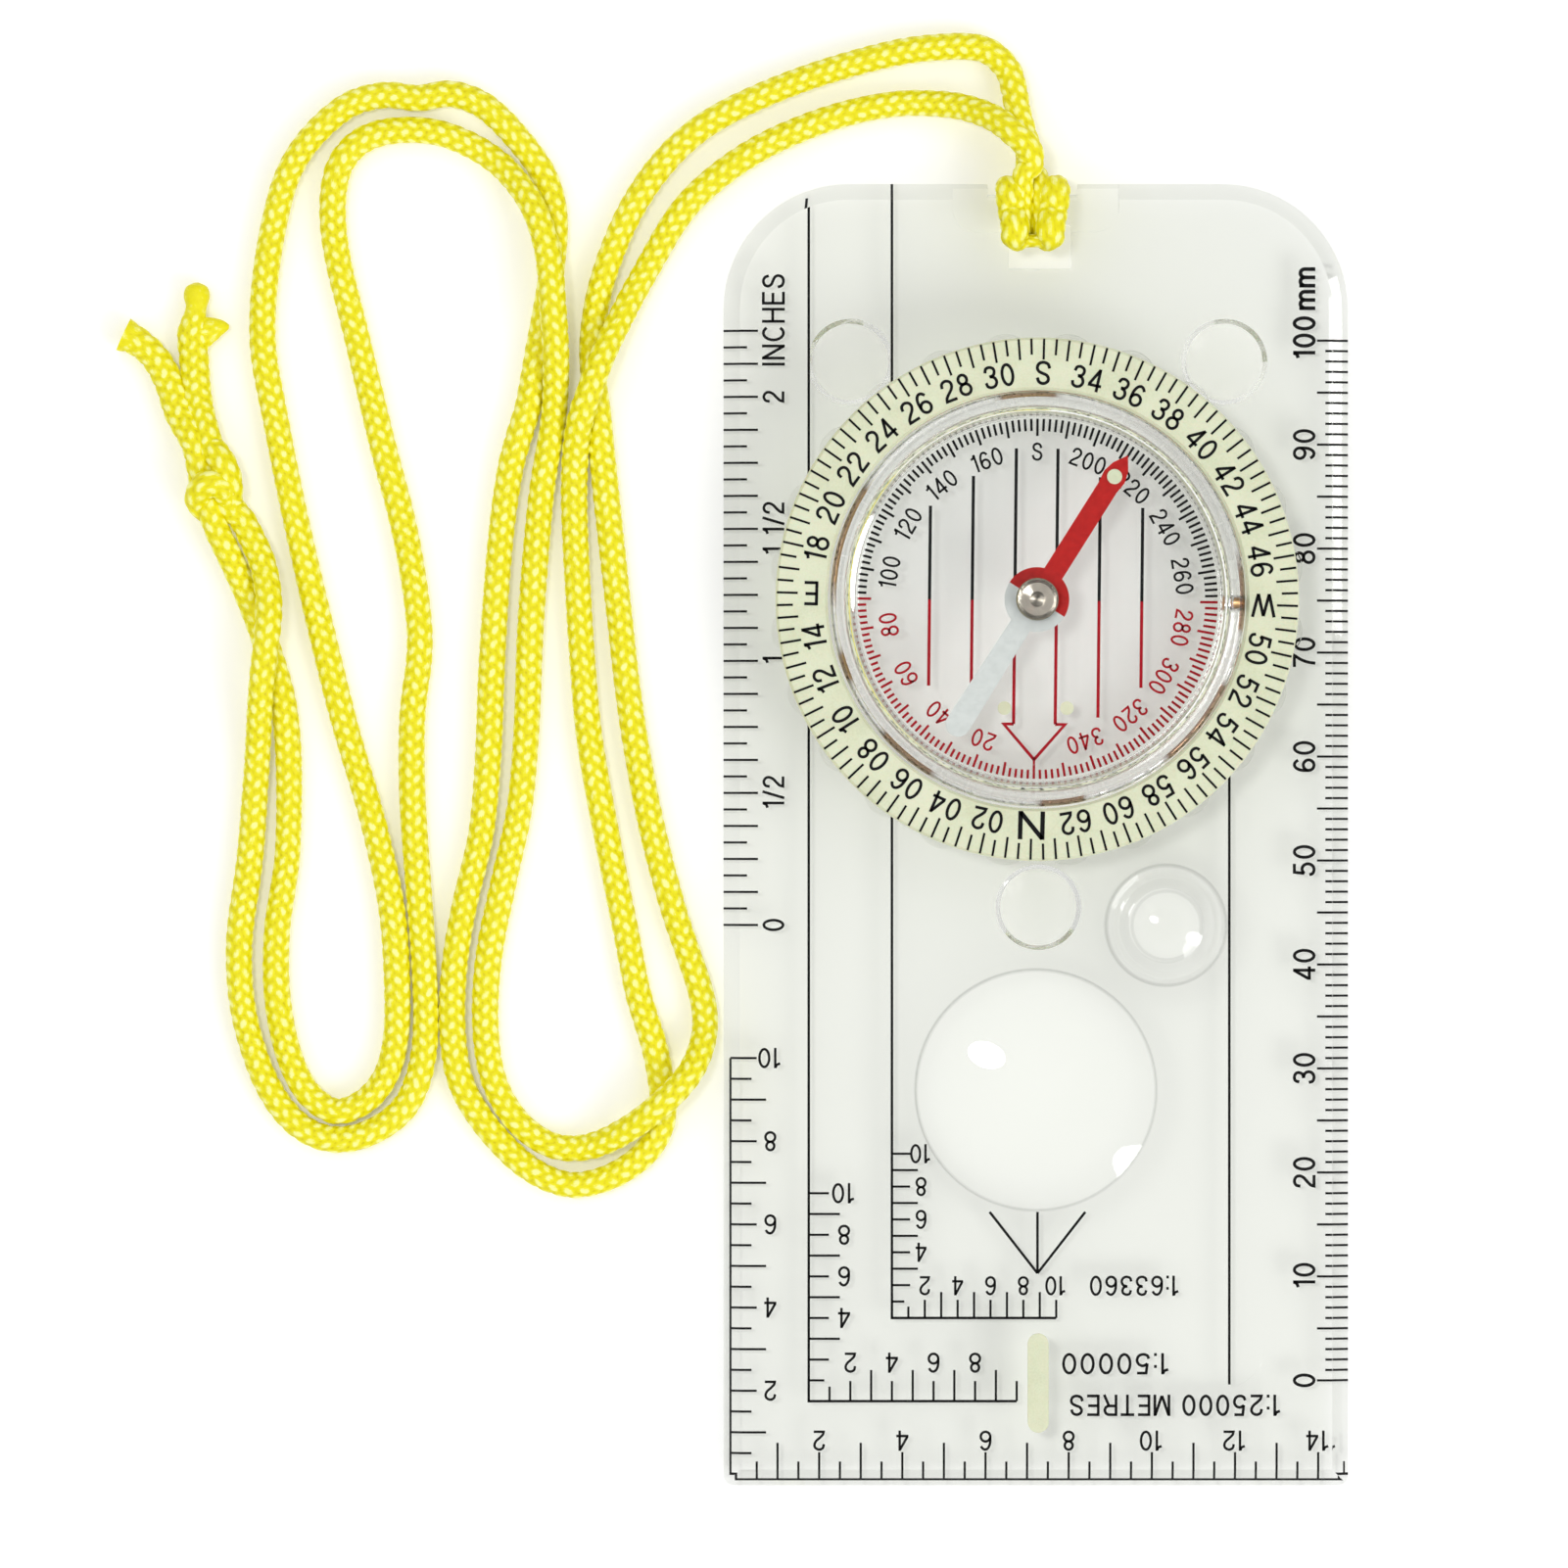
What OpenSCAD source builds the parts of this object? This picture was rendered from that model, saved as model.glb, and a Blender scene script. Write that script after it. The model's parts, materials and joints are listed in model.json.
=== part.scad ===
// Baseplate compass with a turning liquid capsule and a neck lanyard.
// Millimetres. The origin lies on the resting surface, under the needle pivot.
// X points to the right edge, Y towards the lanyard bar, and Z up.

/* [Baseplate] */
// Width across the two straight edges
plate_w = 60; // [56:0.5:70]
// Length from the square end to the lanyard end
plate_l = 125; // [120:1:140]
// Distance from the needle pivot to the lanyard end
lanyard_end_y = 40; // [40:0.5:42]
// Thickness of the acrylic
plate_t = 3; // [2.8:0.1:4]
// Radius of the two corners at the lanyard end
corner_r = 12; // [8:0.5:14]
// Width of the bevel along the top edges
bevel_w = 1.6; // [0.5:0.1:2]
// Height of the bevel along the top edges
bevel_h = 1.2; // [0.4:0.1:1.5]

/* [Lenses] */
// Diameter of the map magnifier
magnifier_d = 23; // [15:0.5:28]
// Bulge of the magnifier above the plate
magnifier_sag = 1.7; // [0.8:0.1:2.5]
// Outer diameter of the small spot lens
spot_d = 11.5; // [9:0.5:13]
// Bulge of the small spot lens
spot_sag = 0.8; // [0.4:0.1:1.2]

/* [Feet and read line] */
// Diameter of each foot
foot_d = 8.2; // [6:0.1:9]
// Height of each foot
foot_h = 2; // [2:0.1:3]
// Width of the luminous read line
index_w = 2; // [1:0.1:3]
// Length of the luminous read line
index_l = 9.5; // [6:0.5:11]

/* [Turning bezel] */
// Outer radius of the luminous dial ring
dial_ring_r = 25; // [24:0.1:26]
// Thickness of the luminous dial ring
dial_ring_t = 1.4; // [1:0.1:2]
// How far the grip lobes stand out past the dial ring
lobe_stand = 0.6; // [0.3:0.1:1]
// Number of grip lobes
lobes = 24; // [12:1:36]

/* [Capsule] */
// Outer radius of the capsule cover
cover_r = 19.8; // [19.5:0.1:19.8]
// Height of the capsule's top above the resting surface
capsule_top = 11.6; // [11:0.1:13]
// Wall thickness of the capsule cup
cup_wall = 0.7; // [0.5:0.1:0.8]

/* [Needle] */
// Bearing of the needle's north end, clockwise from Y, in degrees
needle_bearing = 32.3; // [0:0.1:360]
// Length of the needle's north arm
north_l = 16.3; // [14:0.1:16.5]
// Length of the needle's south arm
south_l = 15.3; // [13:0.1:16.5]
// Thickness of the needle's steel strip
needle_t = 0.3; // [0.2:0.05:0.4]

/* [Lanyard] */
// Diameter of the slack cord
cord_d = 2.4; // [2:0.1:2.4]
// Diameter of the cord where the hitch pulls it tight
tight_d = 1.7; // [1.4:0.1:1.7]
// Sides of the cord's cross-section
cord_sides = 8; // [8:2:12]

/* [Hidden] */
$fn = 96;
eps = 0.01;

// Baseplate levels and edges
plate_z = foot_h;
plate_top = plate_z + plate_t;
edge_x = plate_w / 2;
square_end_y = lanyard_end_y - plate_l;
small_corner_r = 1;

// Lens, foot and read line places
magnifier_y = -47;
spot_at = [12.5, -31.2];
feet_at = [[-17.8, 23], [18.2, 23], [0.3, -29.5]];
ejector_mark_at = [18.1, -71.7];
ejector_mark_d = 8;
mark_depth = 0.1;
index_at = [0.2, -75.1];
groove_depth = 0.6;
foot_flat_d = 5;

// Lanyard slot, and the bar that the hitch grips
slot_x = [-2.6, 3.4];
slot_y = 31.8;
bar_z = plate_z + plate_t / 2;
bar_round = 0.65;
bar_inner_y = lanyard_end_y - 4;
bar_outer_y = lanyard_end_y - 1;
recess_x = 8;
recess_corner = 2.2;
relief_x = [-4.6, 4];

// Bezel, capsule and snap wire, worked outwards from the capsule
running = 0.1;
skirt_in_r = 19.3;
skirt_r = 20.3;
skirt_z = plate_z + 0.5;
hole_r = skirt_r + running;
grip_z = plate_top + running;
dial_ring_z = 7;
dial_ring_in_r = 20;
wire_d = 0.6;
wire_z = 3.7;
wire_r = skirt_r + running / 2;
wire_gap_deg = 24;

// Capsule levels
cup_r = 18.9;
cup_in_r = cup_r - cup_wall;
floor_z = plate_z + 0.4;
floor_t = 0.9;
dial_z = floor_z + floor_t;
cup_top = dial_ring_z;
cup_flange_r = skirt_in_r - 0.05;
cover_t = 1.1;
shoulder_r = 2.2;
inner_shoulder_r = 1.1;
plug_d = 1.5;
plug_z = 8.55;
plug_bearing = -1.2;
capsule_dots_at = [3, -10.35];
capsule_dot_d = 1.3;

// Needle pivot
pin_d = 0.8;
pin_tip = 7.5;
boss_d = 2.4;
boss_h = 0.9;
needle_z = 6.5;
hub_disc_d = 6.2;
cap_d = 4.05;
cap_neck_d = 2.4;
cap_z = needle_z - 0.5;
cap_top = 8.4;
jewel_z = needle_z + 0.4;
jewel_d = 1.6;
jewel_h = 0.95;
needle_dot_d = 1.44;
needle_dot_y = north_l - 2.4;

// Cord rest height, and the lift of a run that crosses over another
cord_r = cord_d / 2;
tight_r = tight_d / 2;
cord_gap = 0.05;
cord_z = cord_r + cord_gap;
over = cord_d + cord_gap;

// Line that the loose cord swings about, and the room that its end needs there
swing_at = [-0.7, 43.2];
swing_gap = cord_r + 0.65;

// Middle of the hitch, and the knot's barrel
hitch_x = -0.35;
knot_at = [-79.1, 10.9];
knot_d = 5.3;
knot_l = 7;
knot_turn = 21;

// ---- Baseplate -------------------------------------------------------------

// Plan of the plate: two large corners at the lanyard end, two small at the other
module plate_plan() {
    big_y = lanyard_end_y - corner_r;
    small_x = edge_x - small_corner_r;
    small_y = square_end_y + small_corner_r;
    translate([-edge_x, small_y]) square([plate_w, big_y - small_y]);
    translate([-small_x, square_end_y]) square([2 * small_x, plate_l - corner_r]);
    translate([corner_r - edge_x, big_y - 1]) square([plate_w - 2 * corner_r, corner_r + 1]);
    for (side = [-1, 1]) {
        translate([side * (edge_x - corner_r), big_y]) circle(corner_r);
        translate([side * small_x, small_y]) circle(small_corner_r);
    }
}

// Cross-section that the bevel removes, with the plate's edge at x = edge
module bevel_section(edge) {
    polygon([[edge - bevel_w, plate_top], [edge, plate_top - bevel_h],
             [edge + 1, plate_top - bevel_h], [edge + 1, plate_top + 1],
             [edge - bevel_w, plate_top + 1]]);
}

// A straight stretch of bevel along the edge that faces the given direction
module straight_bevel(direction, edge, from, to) {
    rotate([0, 0, direction]) translate([0, to, 0]) rotate([90, 0, 0])
        linear_extrude(to - from) bevel_section(edge);
}

module bevels() {
    big_y = lanyard_end_y - corner_r;
    straight_bevel(0, edge_x, square_end_y - 1, big_y);
    straight_bevel(180, edge_x, -big_y, 1 - square_end_y);
    straight_bevel(90, lanyard_end_y, corner_r - edge_x, edge_x - corner_r);
    straight_bevel(-90, -square_end_y, -edge_x - 1, edge_x + 1);
    translate([edge_x - corner_r, big_y, 0])
        rotate_extrude(angle = 90) bevel_section(corner_r);
    translate([corner_r - edge_x, big_y, 0]) rotate([0, 0, 90])
        rotate_extrude(angle = 90) bevel_section(corner_r);
}

// A plano-convex cap of the given diameter and bulge, standing on z = 0
module lens_cap(d, sag) {
    ball_r = (d * d / 4 + sag * sag) / (2 * sag);
    intersection() {
        translate([0, 0, sag - ball_r]) sphere(ball_r, $fn = 200);
        translate([0, 0, -0.5]) cylinder(h = sag + 1, d = d);
    }
}

// Raised collar with a dished inside, and the spot lens in its middle
module spot_lens() {
    collar_h = 0.7;
    inner_r = spot_d / 2 - 2.1;
    translate([spot_at.x, spot_at.y, plate_top]) {
        rotate_extrude() polygon([
            [inner_r - eps, -0.2], [spot_d / 2, -0.2], [spot_d / 2, 0.1],
            [spot_d / 2 - 0.6, collar_h], [inner_r + 0.9, collar_h], [inner_r - eps, 0.05]]);
        lens_cap(2 * inner_r, spot_sag);
    }
}

// Rounded rectangle that thins the plate to the lanyard bar, open at the edge
module bar_recess(z0, h) {
    low = bar_inner_y - 0.6;
    translate([0, 0, z0]) {
        for (side = [-1, 1])
            translate([side * (recess_x - recess_corner), low + recess_corner, 0])
                cylinder(h = h, r = recess_corner);
        translate([recess_corner - recess_x, low, 0])
            cube([2 * (recess_x - recess_corner), lanyard_end_y - low + 1, h]);
        translate([-recess_x, low + recess_corner, 0])
            cube([2 * recess_x, lanyard_end_y - low, h]);
    }
}

// Full-round edge of the lanyard bar
module bar_edge(x_range, y) {
    translate([x_range[0] - 0.1, y, bar_z]) rotate([0, 90, 0])
        cylinder(h = x_range[1] - x_range[0] + 0.2, r = bar_round);
}

// Rounded bar outline, used for the read line and for its groove
module index_plan(w) {
    straight = index_l - index_w;
    translate([-w / 2, -straight / 2]) square([w, straight]);
    for (side = [-1, 1]) translate([0, side * straight / 2]) circle(d = w);
}

module baseplate() {
    color([0.93, 0.95, 0.95, 0.35]) {
        difference() {
            translate([0, 0, plate_z]) linear_extrude(plate_t) plate_plan();
            bevels();
            translate([0, 0, plate_z - 1]) cylinder(h = plate_t + 2, r = hole_r);
            translate([0, 0, wire_z]) rotate_extrude()
                translate([wire_r, 0]) circle(d = wire_d + 0.02, $fn = 32);
            translate([slot_x[0], slot_y, plate_z - 1])
                cube([slot_x[1] - slot_x[0], bar_inner_y + bar_round - slot_y, plate_t + 2]);
            bar_recess(bar_z + bar_round, plate_t);
            bar_recess(bar_z - bar_round - plate_t, plate_t);
            translate([relief_x[0], bar_outer_y - bar_round, plate_z - 1])
                cube([relief_x[1] - relief_x[0], 3, plate_t + 2]);
            translate([index_at.x, index_at.y, plate_top - groove_depth])
                linear_extrude(1) index_plan(index_w + 0.04);
            translate([ejector_mark_at.x, ejector_mark_at.y, plate_z - 1])
                cylinder(h = 1 + mark_depth, d = ejector_mark_d);
        }
        bar_edge(slot_x, bar_inner_y + bar_round);
        bar_edge(relief_x, bar_outer_y - bar_round);
        translate([0, magnifier_y, plate_top]) lens_cap(magnifier_d, magnifier_sag);
        spot_lens();
    }
}

module rubber_feet() {
    shoulder = 0.4;
    color([0.9, 0.92, 0.92, 0.5])
        for (at = feet_at) translate([at.x, at.y, 0]) rotate_extrude() {
            polygon([[0, 0], [foot_flat_d / 2, 0], [foot_d / 2 - shoulder, 0.55],
                     [foot_d / 2, 1.2], [foot_d / 2, foot_h], [0, foot_h]]);
        }
}

module luminous_index_bar() {
    color([0.85, 0.93, 0.72])
        translate([index_at.x, index_at.y, plate_top - groove_depth])
            linear_extrude(groove_depth + 0.05) index_plan(index_w);
}

// ---- Bezel and capsule -----------------------------------------------------

// Open snap wire: half of its section sits in the plate, half in the skirt
module retaining_ring() {
    color([0.72, 0.45, 0.28])
        translate([0, 0, wire_z]) rotate([0, 0, wire_gap_deg / 2])
            rotate_extrude(angle = 360 - wire_gap_deg)
                translate([wire_r, 0]) circle(d = wire_d, $fn = 32);
}

module bezel_grip_ring() {
    lobe_r = 2.6;
    groove_h = wire_d + 2 * running;
    groove_r = wire_r - wire_d / 2 - running;
    color([0.93, 0.96, 0.92, 0.45])
        difference() {
            union() {
                translate([0, 0, grip_z]) cylinder(h = dial_ring_z - grip_z, r = dial_ring_r);
                for (i = [0 : lobes - 1]) rotate([0, 0, (i + 0.5) * 360 / lobes])
                    translate([dial_ring_r + lobe_stand - lobe_r, 0, grip_z])
                        cylinder(h = dial_ring_z - grip_z, r = lobe_r);
                translate([0, 0, skirt_z]) cylinder(h = dial_ring_z - skirt_z, r = skirt_r);
            }
            translate([0, 0, skirt_z - 1]) cylinder(h = plate_t + 6, r = skirt_in_r);
            translate([0, 0, wire_z - groove_h / 2]) difference() {
                cylinder(h = groove_h, r = skirt_r + 1);
                translate([0, 0, -1]) cylinder(h = groove_h + 2, r = groove_r);
            }
        }
}

module luminous_dial_ring() {
    chamfer = 0.25;
    top = dial_ring_z + dial_ring_t;
    color([0.86, 0.91, 0.72])
        rotate_extrude() polygon([
            [dial_ring_in_r, dial_ring_z], [dial_ring_r, dial_ring_z],
            [dial_ring_r, top - chamfer], [dial_ring_r - chamfer, top],
            [dial_ring_in_r + chamfer, top], [dial_ring_in_r, top - chamfer]]);
}

module capsule_cup() {
    flange_t = 0.8;
    pin_hole_depth = 1.3;
    color([0.95, 0.97, 0.97, 0.35])
        difference() {
            union() {
                translate([0, 0, floor_z]) cylinder(h = cup_top - floor_z, r = cup_r);
                translate([0, 0, cup_top - flange_t]) cylinder(h = flange_t, r = cup_flange_r);
            }
            difference() {
                translate([0, 0, dial_z]) cylinder(h = cup_top, r = cup_in_r);
                cylinder(h = dial_z + boss_h, d = boss_d);
            }
            translate([0, 0, dial_z + boss_h - pin_hole_depth])
                cylinder(h = pin_hole_depth + 1, d = pin_d + 0.02);
        }
}

// Fill plug's own frame: its axis lies along the capsule's radius
module at_plug() {
    rotate([0, 0, plug_bearing]) translate([0, 0, plug_z]) rotate([0, 90, 0]) children();
}

module capsule_cover() {
    shoulder_z = capsule_top - shoulder_r;
    color([0.95, 0.97, 0.97, 0.35])
        difference() {
            rotate_extrude() difference() {
                union() {
                    translate([0, cup_top]) square([cover_r, shoulder_z - cup_top]);
                    translate([0, shoulder_z - eps]) square([cover_r - shoulder_r, shoulder_r + eps]);
                    intersection() {
                        translate([cover_r - shoulder_r, shoulder_z]) circle(shoulder_r);
                        translate([0, shoulder_z - eps]) square([cover_r, shoulder_r + eps]);
                    }
                }
                translate([-1, cup_top - 1]) square([cup_in_r + 1, shoulder_z - cup_top + 1]);
                translate([-1, 0])
                    square([cup_in_r + 1 - inner_shoulder_r, capsule_top - cover_t]);
                translate([cup_in_r - inner_shoulder_r, shoulder_z]) circle(inner_shoulder_r);
            }
            at_plug() cylinder(h = cover_r + 1, d = plug_d + 0.02);
        }
}

module fill_plug() {
    color([0.72, 0.52, 0.3])
        at_plug() translate([0, 0, cup_in_r + 0.1])
            cylinder(h = cover_r - cup_in_r - 0.25, d = plug_d, $fn = 48);
}

module capsule_lume_dots() {
    color([0.9, 0.93, 0.7])
        for (side = [-1, 1])
            translate([side * capsule_dots_at.x, capsule_dots_at.y, dial_z])
                cylinder(h = 0.2, d = capsule_dot_d, $fn = 48);
}

module pivot_pin() {
    cone_h = 0.9;
    foot = dial_z + boss_h - 1.2;
    color([0.75, 0.76, 0.78]) {
        translate([0, 0, foot]) cylinder(h = pin_tip - cone_h - foot, d = pin_d, $fn = 32);
        translate([0, 0, pin_tip - cone_h]) cylinder(h = cone_h, d1 = pin_d, d2 = 0.12, $fn = 32);
    }
}

// ---- Needle ----------------------------------------------------------------

// Everything that swings with the needle is drawn along Y, then turned
module at_needle() {
    rotate([0, 0, -needle_bearing]) children();
}

module needle_plan() {
    arm = 1;
    head = 1.15;
    tip = 0.85;
    tail = 1.2;
    difference() {
        union() {
            circle(d = hub_disc_d);
            polygon([[-arm, 0], [arm, 0], [arm, needle_dot_y - 1.2], [head, needle_dot_y],
                     [tip, needle_dot_y + 1.1], [0, north_l], [-tip, needle_dot_y + 1.1],
                     [-head, needle_dot_y], [-arm, needle_dot_y - 1.2]]);
            polygon([[-arm, 0], [-tail, tail - south_l], [tail, tail - south_l], [arm, 0]]);
            translate([0, tail - south_l]) circle(tail);
        }
        circle(d = cap_neck_d + 0.02);
    }
}

module magnetic_needle() {
    color([0.85, 0.12, 0.1])
        translate([0, 0, needle_z]) at_needle() linear_extrude(needle_t) needle_plan();
}

module needle_lume_dot() {
    color([0.93, 0.95, 0.75])
        at_needle() translate([0, needle_dot_y, needle_z + needle_t])
            cylinder(h = 0.12, d = needle_dot_d, $fn = 48);
}

// Turned hub: a head with a coned dish above, a neck through the needle, and
// the bore for the stone below
module needle_cap() {
    head_z = needle_z + needle_t;
    color([0.8, 0.8, 0.8])
        difference() {
            rotate_extrude() polygon([
                [0, cap_z], [cap_neck_d / 2, cap_z], [cap_neck_d / 2, head_z],
                [cap_d / 2, head_z], [cap_d / 2, cap_top - 0.15], [cap_d / 2 - 0.15, cap_top],
                [cap_d / 2 - 0.45, cap_top], [0.75, cap_top - 0.35], [0, cap_top - 0.35]]);
            translate([0, 0, cap_z - 1])
                cylinder(h = 1 + jewel_z + jewel_h - cap_z, d = jewel_d + 0.02, $fn = 48);
        }
}

// Stone with a coned cup below; the pin's tip stands just short of the cup's end
module pivot_jewel() {
    cone_h = 1.2;
    color([0.75, 0.1, 0.2])
        difference() {
            translate([0, 0, jewel_z]) cylinder(h = jewel_h, d = jewel_d, $fn = 48);
            translate([0, 0, pin_tip + 0.03 - cone_h])
                cylinder(h = cone_h, d1 = 2.4, d2 = 0.3, $fn = 32);
        }
}

// ---- Lanyard ---------------------------------------------------------------

function unit(v) = v / norm(v);

// Point at parameter t on the smooth curve between control points p1 and p2
function curve_at(p0, p1, p2, p3, t) =
    0.5 * (2 * p1 + (p2 - p0) * t + (2 * p0 - 5 * p1 + 4 * p2 - p3) * t * t
           + (3 * p1 - p0 - 3 * p2 + p3) * t * t * t);

// Control points [x, y, z, radius] smoothed to points about one step apart
function smooth_path(c, step) =
    let (last = len(c) - 1, ends = concat([2 * c[0] - c[1]], c, [2 * c[last] - c[last - 1]]))
    concat([for (i = [0 : last - 1])
                let (n = max(1, ceil(norm(c[i + 1] - c[i]) / step)))
                for (k = [0 : n - 1])
                    curve_at(ends[i], ends[i + 1], ends[i + 2], ends[i + 3], k / n)],
           [c[last]]);

function place(p) = [p[0], p[1], p[2]];

// Travel direction at each point of a path
function headings(p) =
    [for (i = [0 : len(p) - 1])
        unit(place(p[min(i + 1, len(p) - 1)]) - place(p[max(i - 1, 0)]))];

// A side direction carried along the path without twisting
function carried_sides(h, start) =
    [for (i = 0, s = unit(start - h[0] * (start * h[0]));
          i < len(h);
          i = i + 1,
          s = i < len(h) ? unit(s - h[i] * (s * h[i])) : s) s];

// Round cord along a path of [x, y, z, radius]
module cord(path, start_side = [0, 0, 1]) {
    m = cord_sides;
    rings = len(path);
    h = headings(path);
    s = carried_sides(h, start_side);
    points = [for (i = [0 : rings - 1], k = [0 : m - 1])
        let (a = 360 * k / m)
        place(path[i]) + path[i][3] * (cos(a) * s[i] + sin(a) * cross(h[i], s[i]))];
    walls = [for (i = [0 : rings - 2], k = [0 : m - 1], half = [0, 1])
        let (a = i * m + k, b = i * m + (k + 1) % m)
        half == 0 ? [a, a + m, b] : [b, a + m, b + m]];
    caps = [[for (k = [0 : m - 1]) k], [for (k = [m - 1 : -1 : 0]) (rings - 1) * m + k]];
    polyhedron(points = points, faces = concat(caps, walls));
}

// Half of the girth hitch, from the swing point over the bar, down the slot,
// under the bar, up round the plate's edge and half of the bight. side is 1 for
// the right half and -1 for the left. lead holds the first heights: where the
// cord leaves the hitch, where it passes the plate's edge, and in between.
function hitch_half(side, lead) =
    let (in_x = hitch_x + side * (tight_r + cord_gap),
         out_x = in_x + side * (tight_r * 2 + 0.12),
         wrap = bar_round + tight_r + cord_gap,
         inner = bar_inner_y + bar_round, outer = bar_outer_y - bar_round,
         fan = [0, 0, 0, 0.1, 0.3, 0.6], r = tight_r)
    concat(
        [[swing_at.x, swing_at.y - swing_gap, lead[0], 1],
         [(in_x + swing_at.x) / 2 + side * 0.25, outer + 2.55, lead[1], 0.95],
         [in_x, outer + 1.35, lead[2], r],
         [in_x, outer, bar_z + wrap, r]],
        [for (i = [0 : 5]) let (a = 90 - 36 * i)
            [in_x + side * fan[i], inner - wrap * cos(a), bar_z + wrap * sin(a), r]],
        [[(in_x + out_x) / 2, (inner + outer) / 2, bar_z - wrap, r]],
        [for (i = [5 : -1 : 0]) let (a = 90 - 36 * i)
            [out_x - side * fan[i], outer + wrap * cos(a), bar_z + wrap * sin(a), r]],
        [[out_x, outer - 1.15, bar_z + wrap + 0.05, r],
         [hitch_x + side * 2.4, outer - 2.75, bar_z + 2.5, r],
         [hitch_x + side * 1.35, outer - 3.8, bar_z + 2.85, r]]);

module lanyard_hitch() {
    right = hitch_half(1, [cord_z + 1.8, 3.75, 4.7]);
    left = hitch_half(-1, [cord_z + 4.25, 5.6, 5.3]);
    bight = [[hitch_x, bar_outer_y - bar_round - 4.15, bar_z + 2.9, tight_r]];
    back = [for (i = [len(left) - 1 : -1 : 0]) left[i]];
    color([0.95, 0.92, 0.1])
        cord(smooth_path(concat(right, bight, back), 0.8), [1, 0, 0]);
}

// Lay of the two runs on the table, from the swing point to the knot: each row
// is [x, y, lift], where lift raises a run over the one that it crosses
first_run = [
    [-0.7, 43.2, 1.8], [-1.7, 47.3, 1], [-2.5, 51, 0.2], [-4.9, 53.2, 0], [-9.3, 53.4, 0],
    [-15, 52.5, 0], [-24, 49.7, 0], [-32.5, 45.4, 0], [-38, 39.3, 0], [-41.5, 31.5, 0],
    [-42.7, 24.5, 0], [-42.1, 18, 0], [-41.4, 11, 0], [-40.2, 0, 0], [-38.9, -11, 0],
    [-37, -21.5, 0], [-34.6, -30.5, 0], [-32.4, -37, 0], [-31.8, -41.2, 0.4],
    [-33.1, -45.2, 1.9], [-36, -48.4, over], [-39.6, -51.1, 1.2], [-43, -52.6, 0],
    [-46.1, -52.6, 0], [-48.9, -51.1, 0], [-51.1, -48.5, 0], [-52.5, -45, 0],
    [-53, -40, 0], [-52.6, -34, 0], [-51.2, -27, 0], [-49.7, -20, 0], [-49, -12, 0],
    [-48.6, -2, 0], [-47.6, 10, 0], [-46.4, 17.5, 0.4], [-46.1, 23, 1.9],
    [-46.4, 28.5, over], [-46.9, 33.5, over], [-48.2, 37.6, 2.2], [-50.4, 40.9, 0.8],
    [-53.2, 43.3, 0], [-57.3, 45.1, 0], [-61.5, 45.4, 0], [-64.9, 44.4, 0], [-67, 42, 0],
    [-67.7, 38, 0], [-67.2, 33, 0], [-65.5, 26, 0], [-63, 15.5, 0], [-60.6, 6, 0],
    [-59.3, -3.5, 0], [-60, -11, 0], [-60, -19, 0], [-59.4, -28, 0], [-58.8, -37, 0],
    [-58.9, -43.5, 0], [-60.5, -48.4, 0], [-63.8, -51.1, 0], [-67.5, -51.9, 0],
    [-71, -50.5, 0], [-74, -46.6, 0], [-76.2, -40, 0], [-76.7, -33, 0], [-75.7, -25, 0],
    [-75, -16, 0.3], [-74.5, -9, 2], [-74, -4.5, over], [-73.7, -0.3, 2],
    [-74.5, 4, 1.2], [-76.45, 7.95, 1.1]];

second_run = [
    [-0.7, 43.2, 4.25], [-2.1, 44.7, 4.1], [-4.2, 46.4, 2.8], [-7.2, 47.6, 1],
    [-10.5, 48, 0.2], [-14.5, 47.8, 0], [-20.5, 46.3, 0], [-27.5, 43.1, 0],
    [-33.5, 38.2, 0], [-37.5, 31.8, 0.2], [-40, 27, 1.2], [-41.7, 23.3, over],
    [-42.8, 20.3, over], [-43.8, 17.3, 1.7], [-44.3, 13.8, 0.4], [-44.4, 9, 0],
    [-44.1, 2, 0], [-43.6, -6, 0],
    [-42.9, -13.5, 0], [-41.2, -23, 0], [-39.4, -32, 0], [-38.2, -38, 0],
    [-36.8, -42.5, 0], [-36, -46.5, 0], [-35.9, -50, 0], [-37.3, -52.9, 0],
    [-40.5, -55.3, 0], [-44.6, -56.3, 0], [-48.4, -54.9, 0], [-51.5, -52.2, 0],
    [-54, -49, 0], [-55.6, -45.5, 0], [-56.2, -40, 0], [-55.8, -34, 0], [-54.8, -28.5, 0],
    [-53.4, -22.5, 0], [-52.7, -15, 0], [-52.3, -5, 0], [-51.5, 6, 0], [-50.4, 13.5, 0],
    [-48.9, 18.5, 0], [-47.9, 24, 0], [-47, 29, 0], [-46.4, 33.5, 0], [-46.3, 37.5, 0],
    [-47.4, 41.2, 0], [-50.2, 45, 0], [-53.2, 47.8, 0], [-56.3, 48.9, 0], [-59.5, 48.5, 0],
    [-62.5, 48.8, 0], [-66, 47.9, 0], [-69.3, 45.2, 0], [-71.7, 41.8, 0], [-73.1, 37.5, 0],
    [-74.2, 31, 0], [-74.4, 24.5, 0], [-73.2, 17.5, 0], [-71.4, 8.5, 0], [-69, -2, 0],
    [-66.5, -12, 0], [-64, -20.5, 0], [-62.1, -29, 0], [-61.5, -36, 0], [-61.6, -42, 0],
    [-62.6, -45.8, 0], [-64.6, -48.2, 0], [-67.3, -49.2, 0], [-70, -47.5, 0],
    [-72, -43.5, 0], [-73.1, -37.5, 0], [-73, -31, 0], [-72.1, -25, 0], [-71.9, -17, 0],
    [-72.3, -11, 0], [-73.2, -7, 0], [-74.7, -2.5, 0], [-76.3, 1.5, 0.3], [-77.9, 5, 1],
    [-78.85, 7.05, 1.1]];

function lay(run) = [for (p = run) [p.x, p.y, cord_z + p.z, cord_r]];

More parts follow.
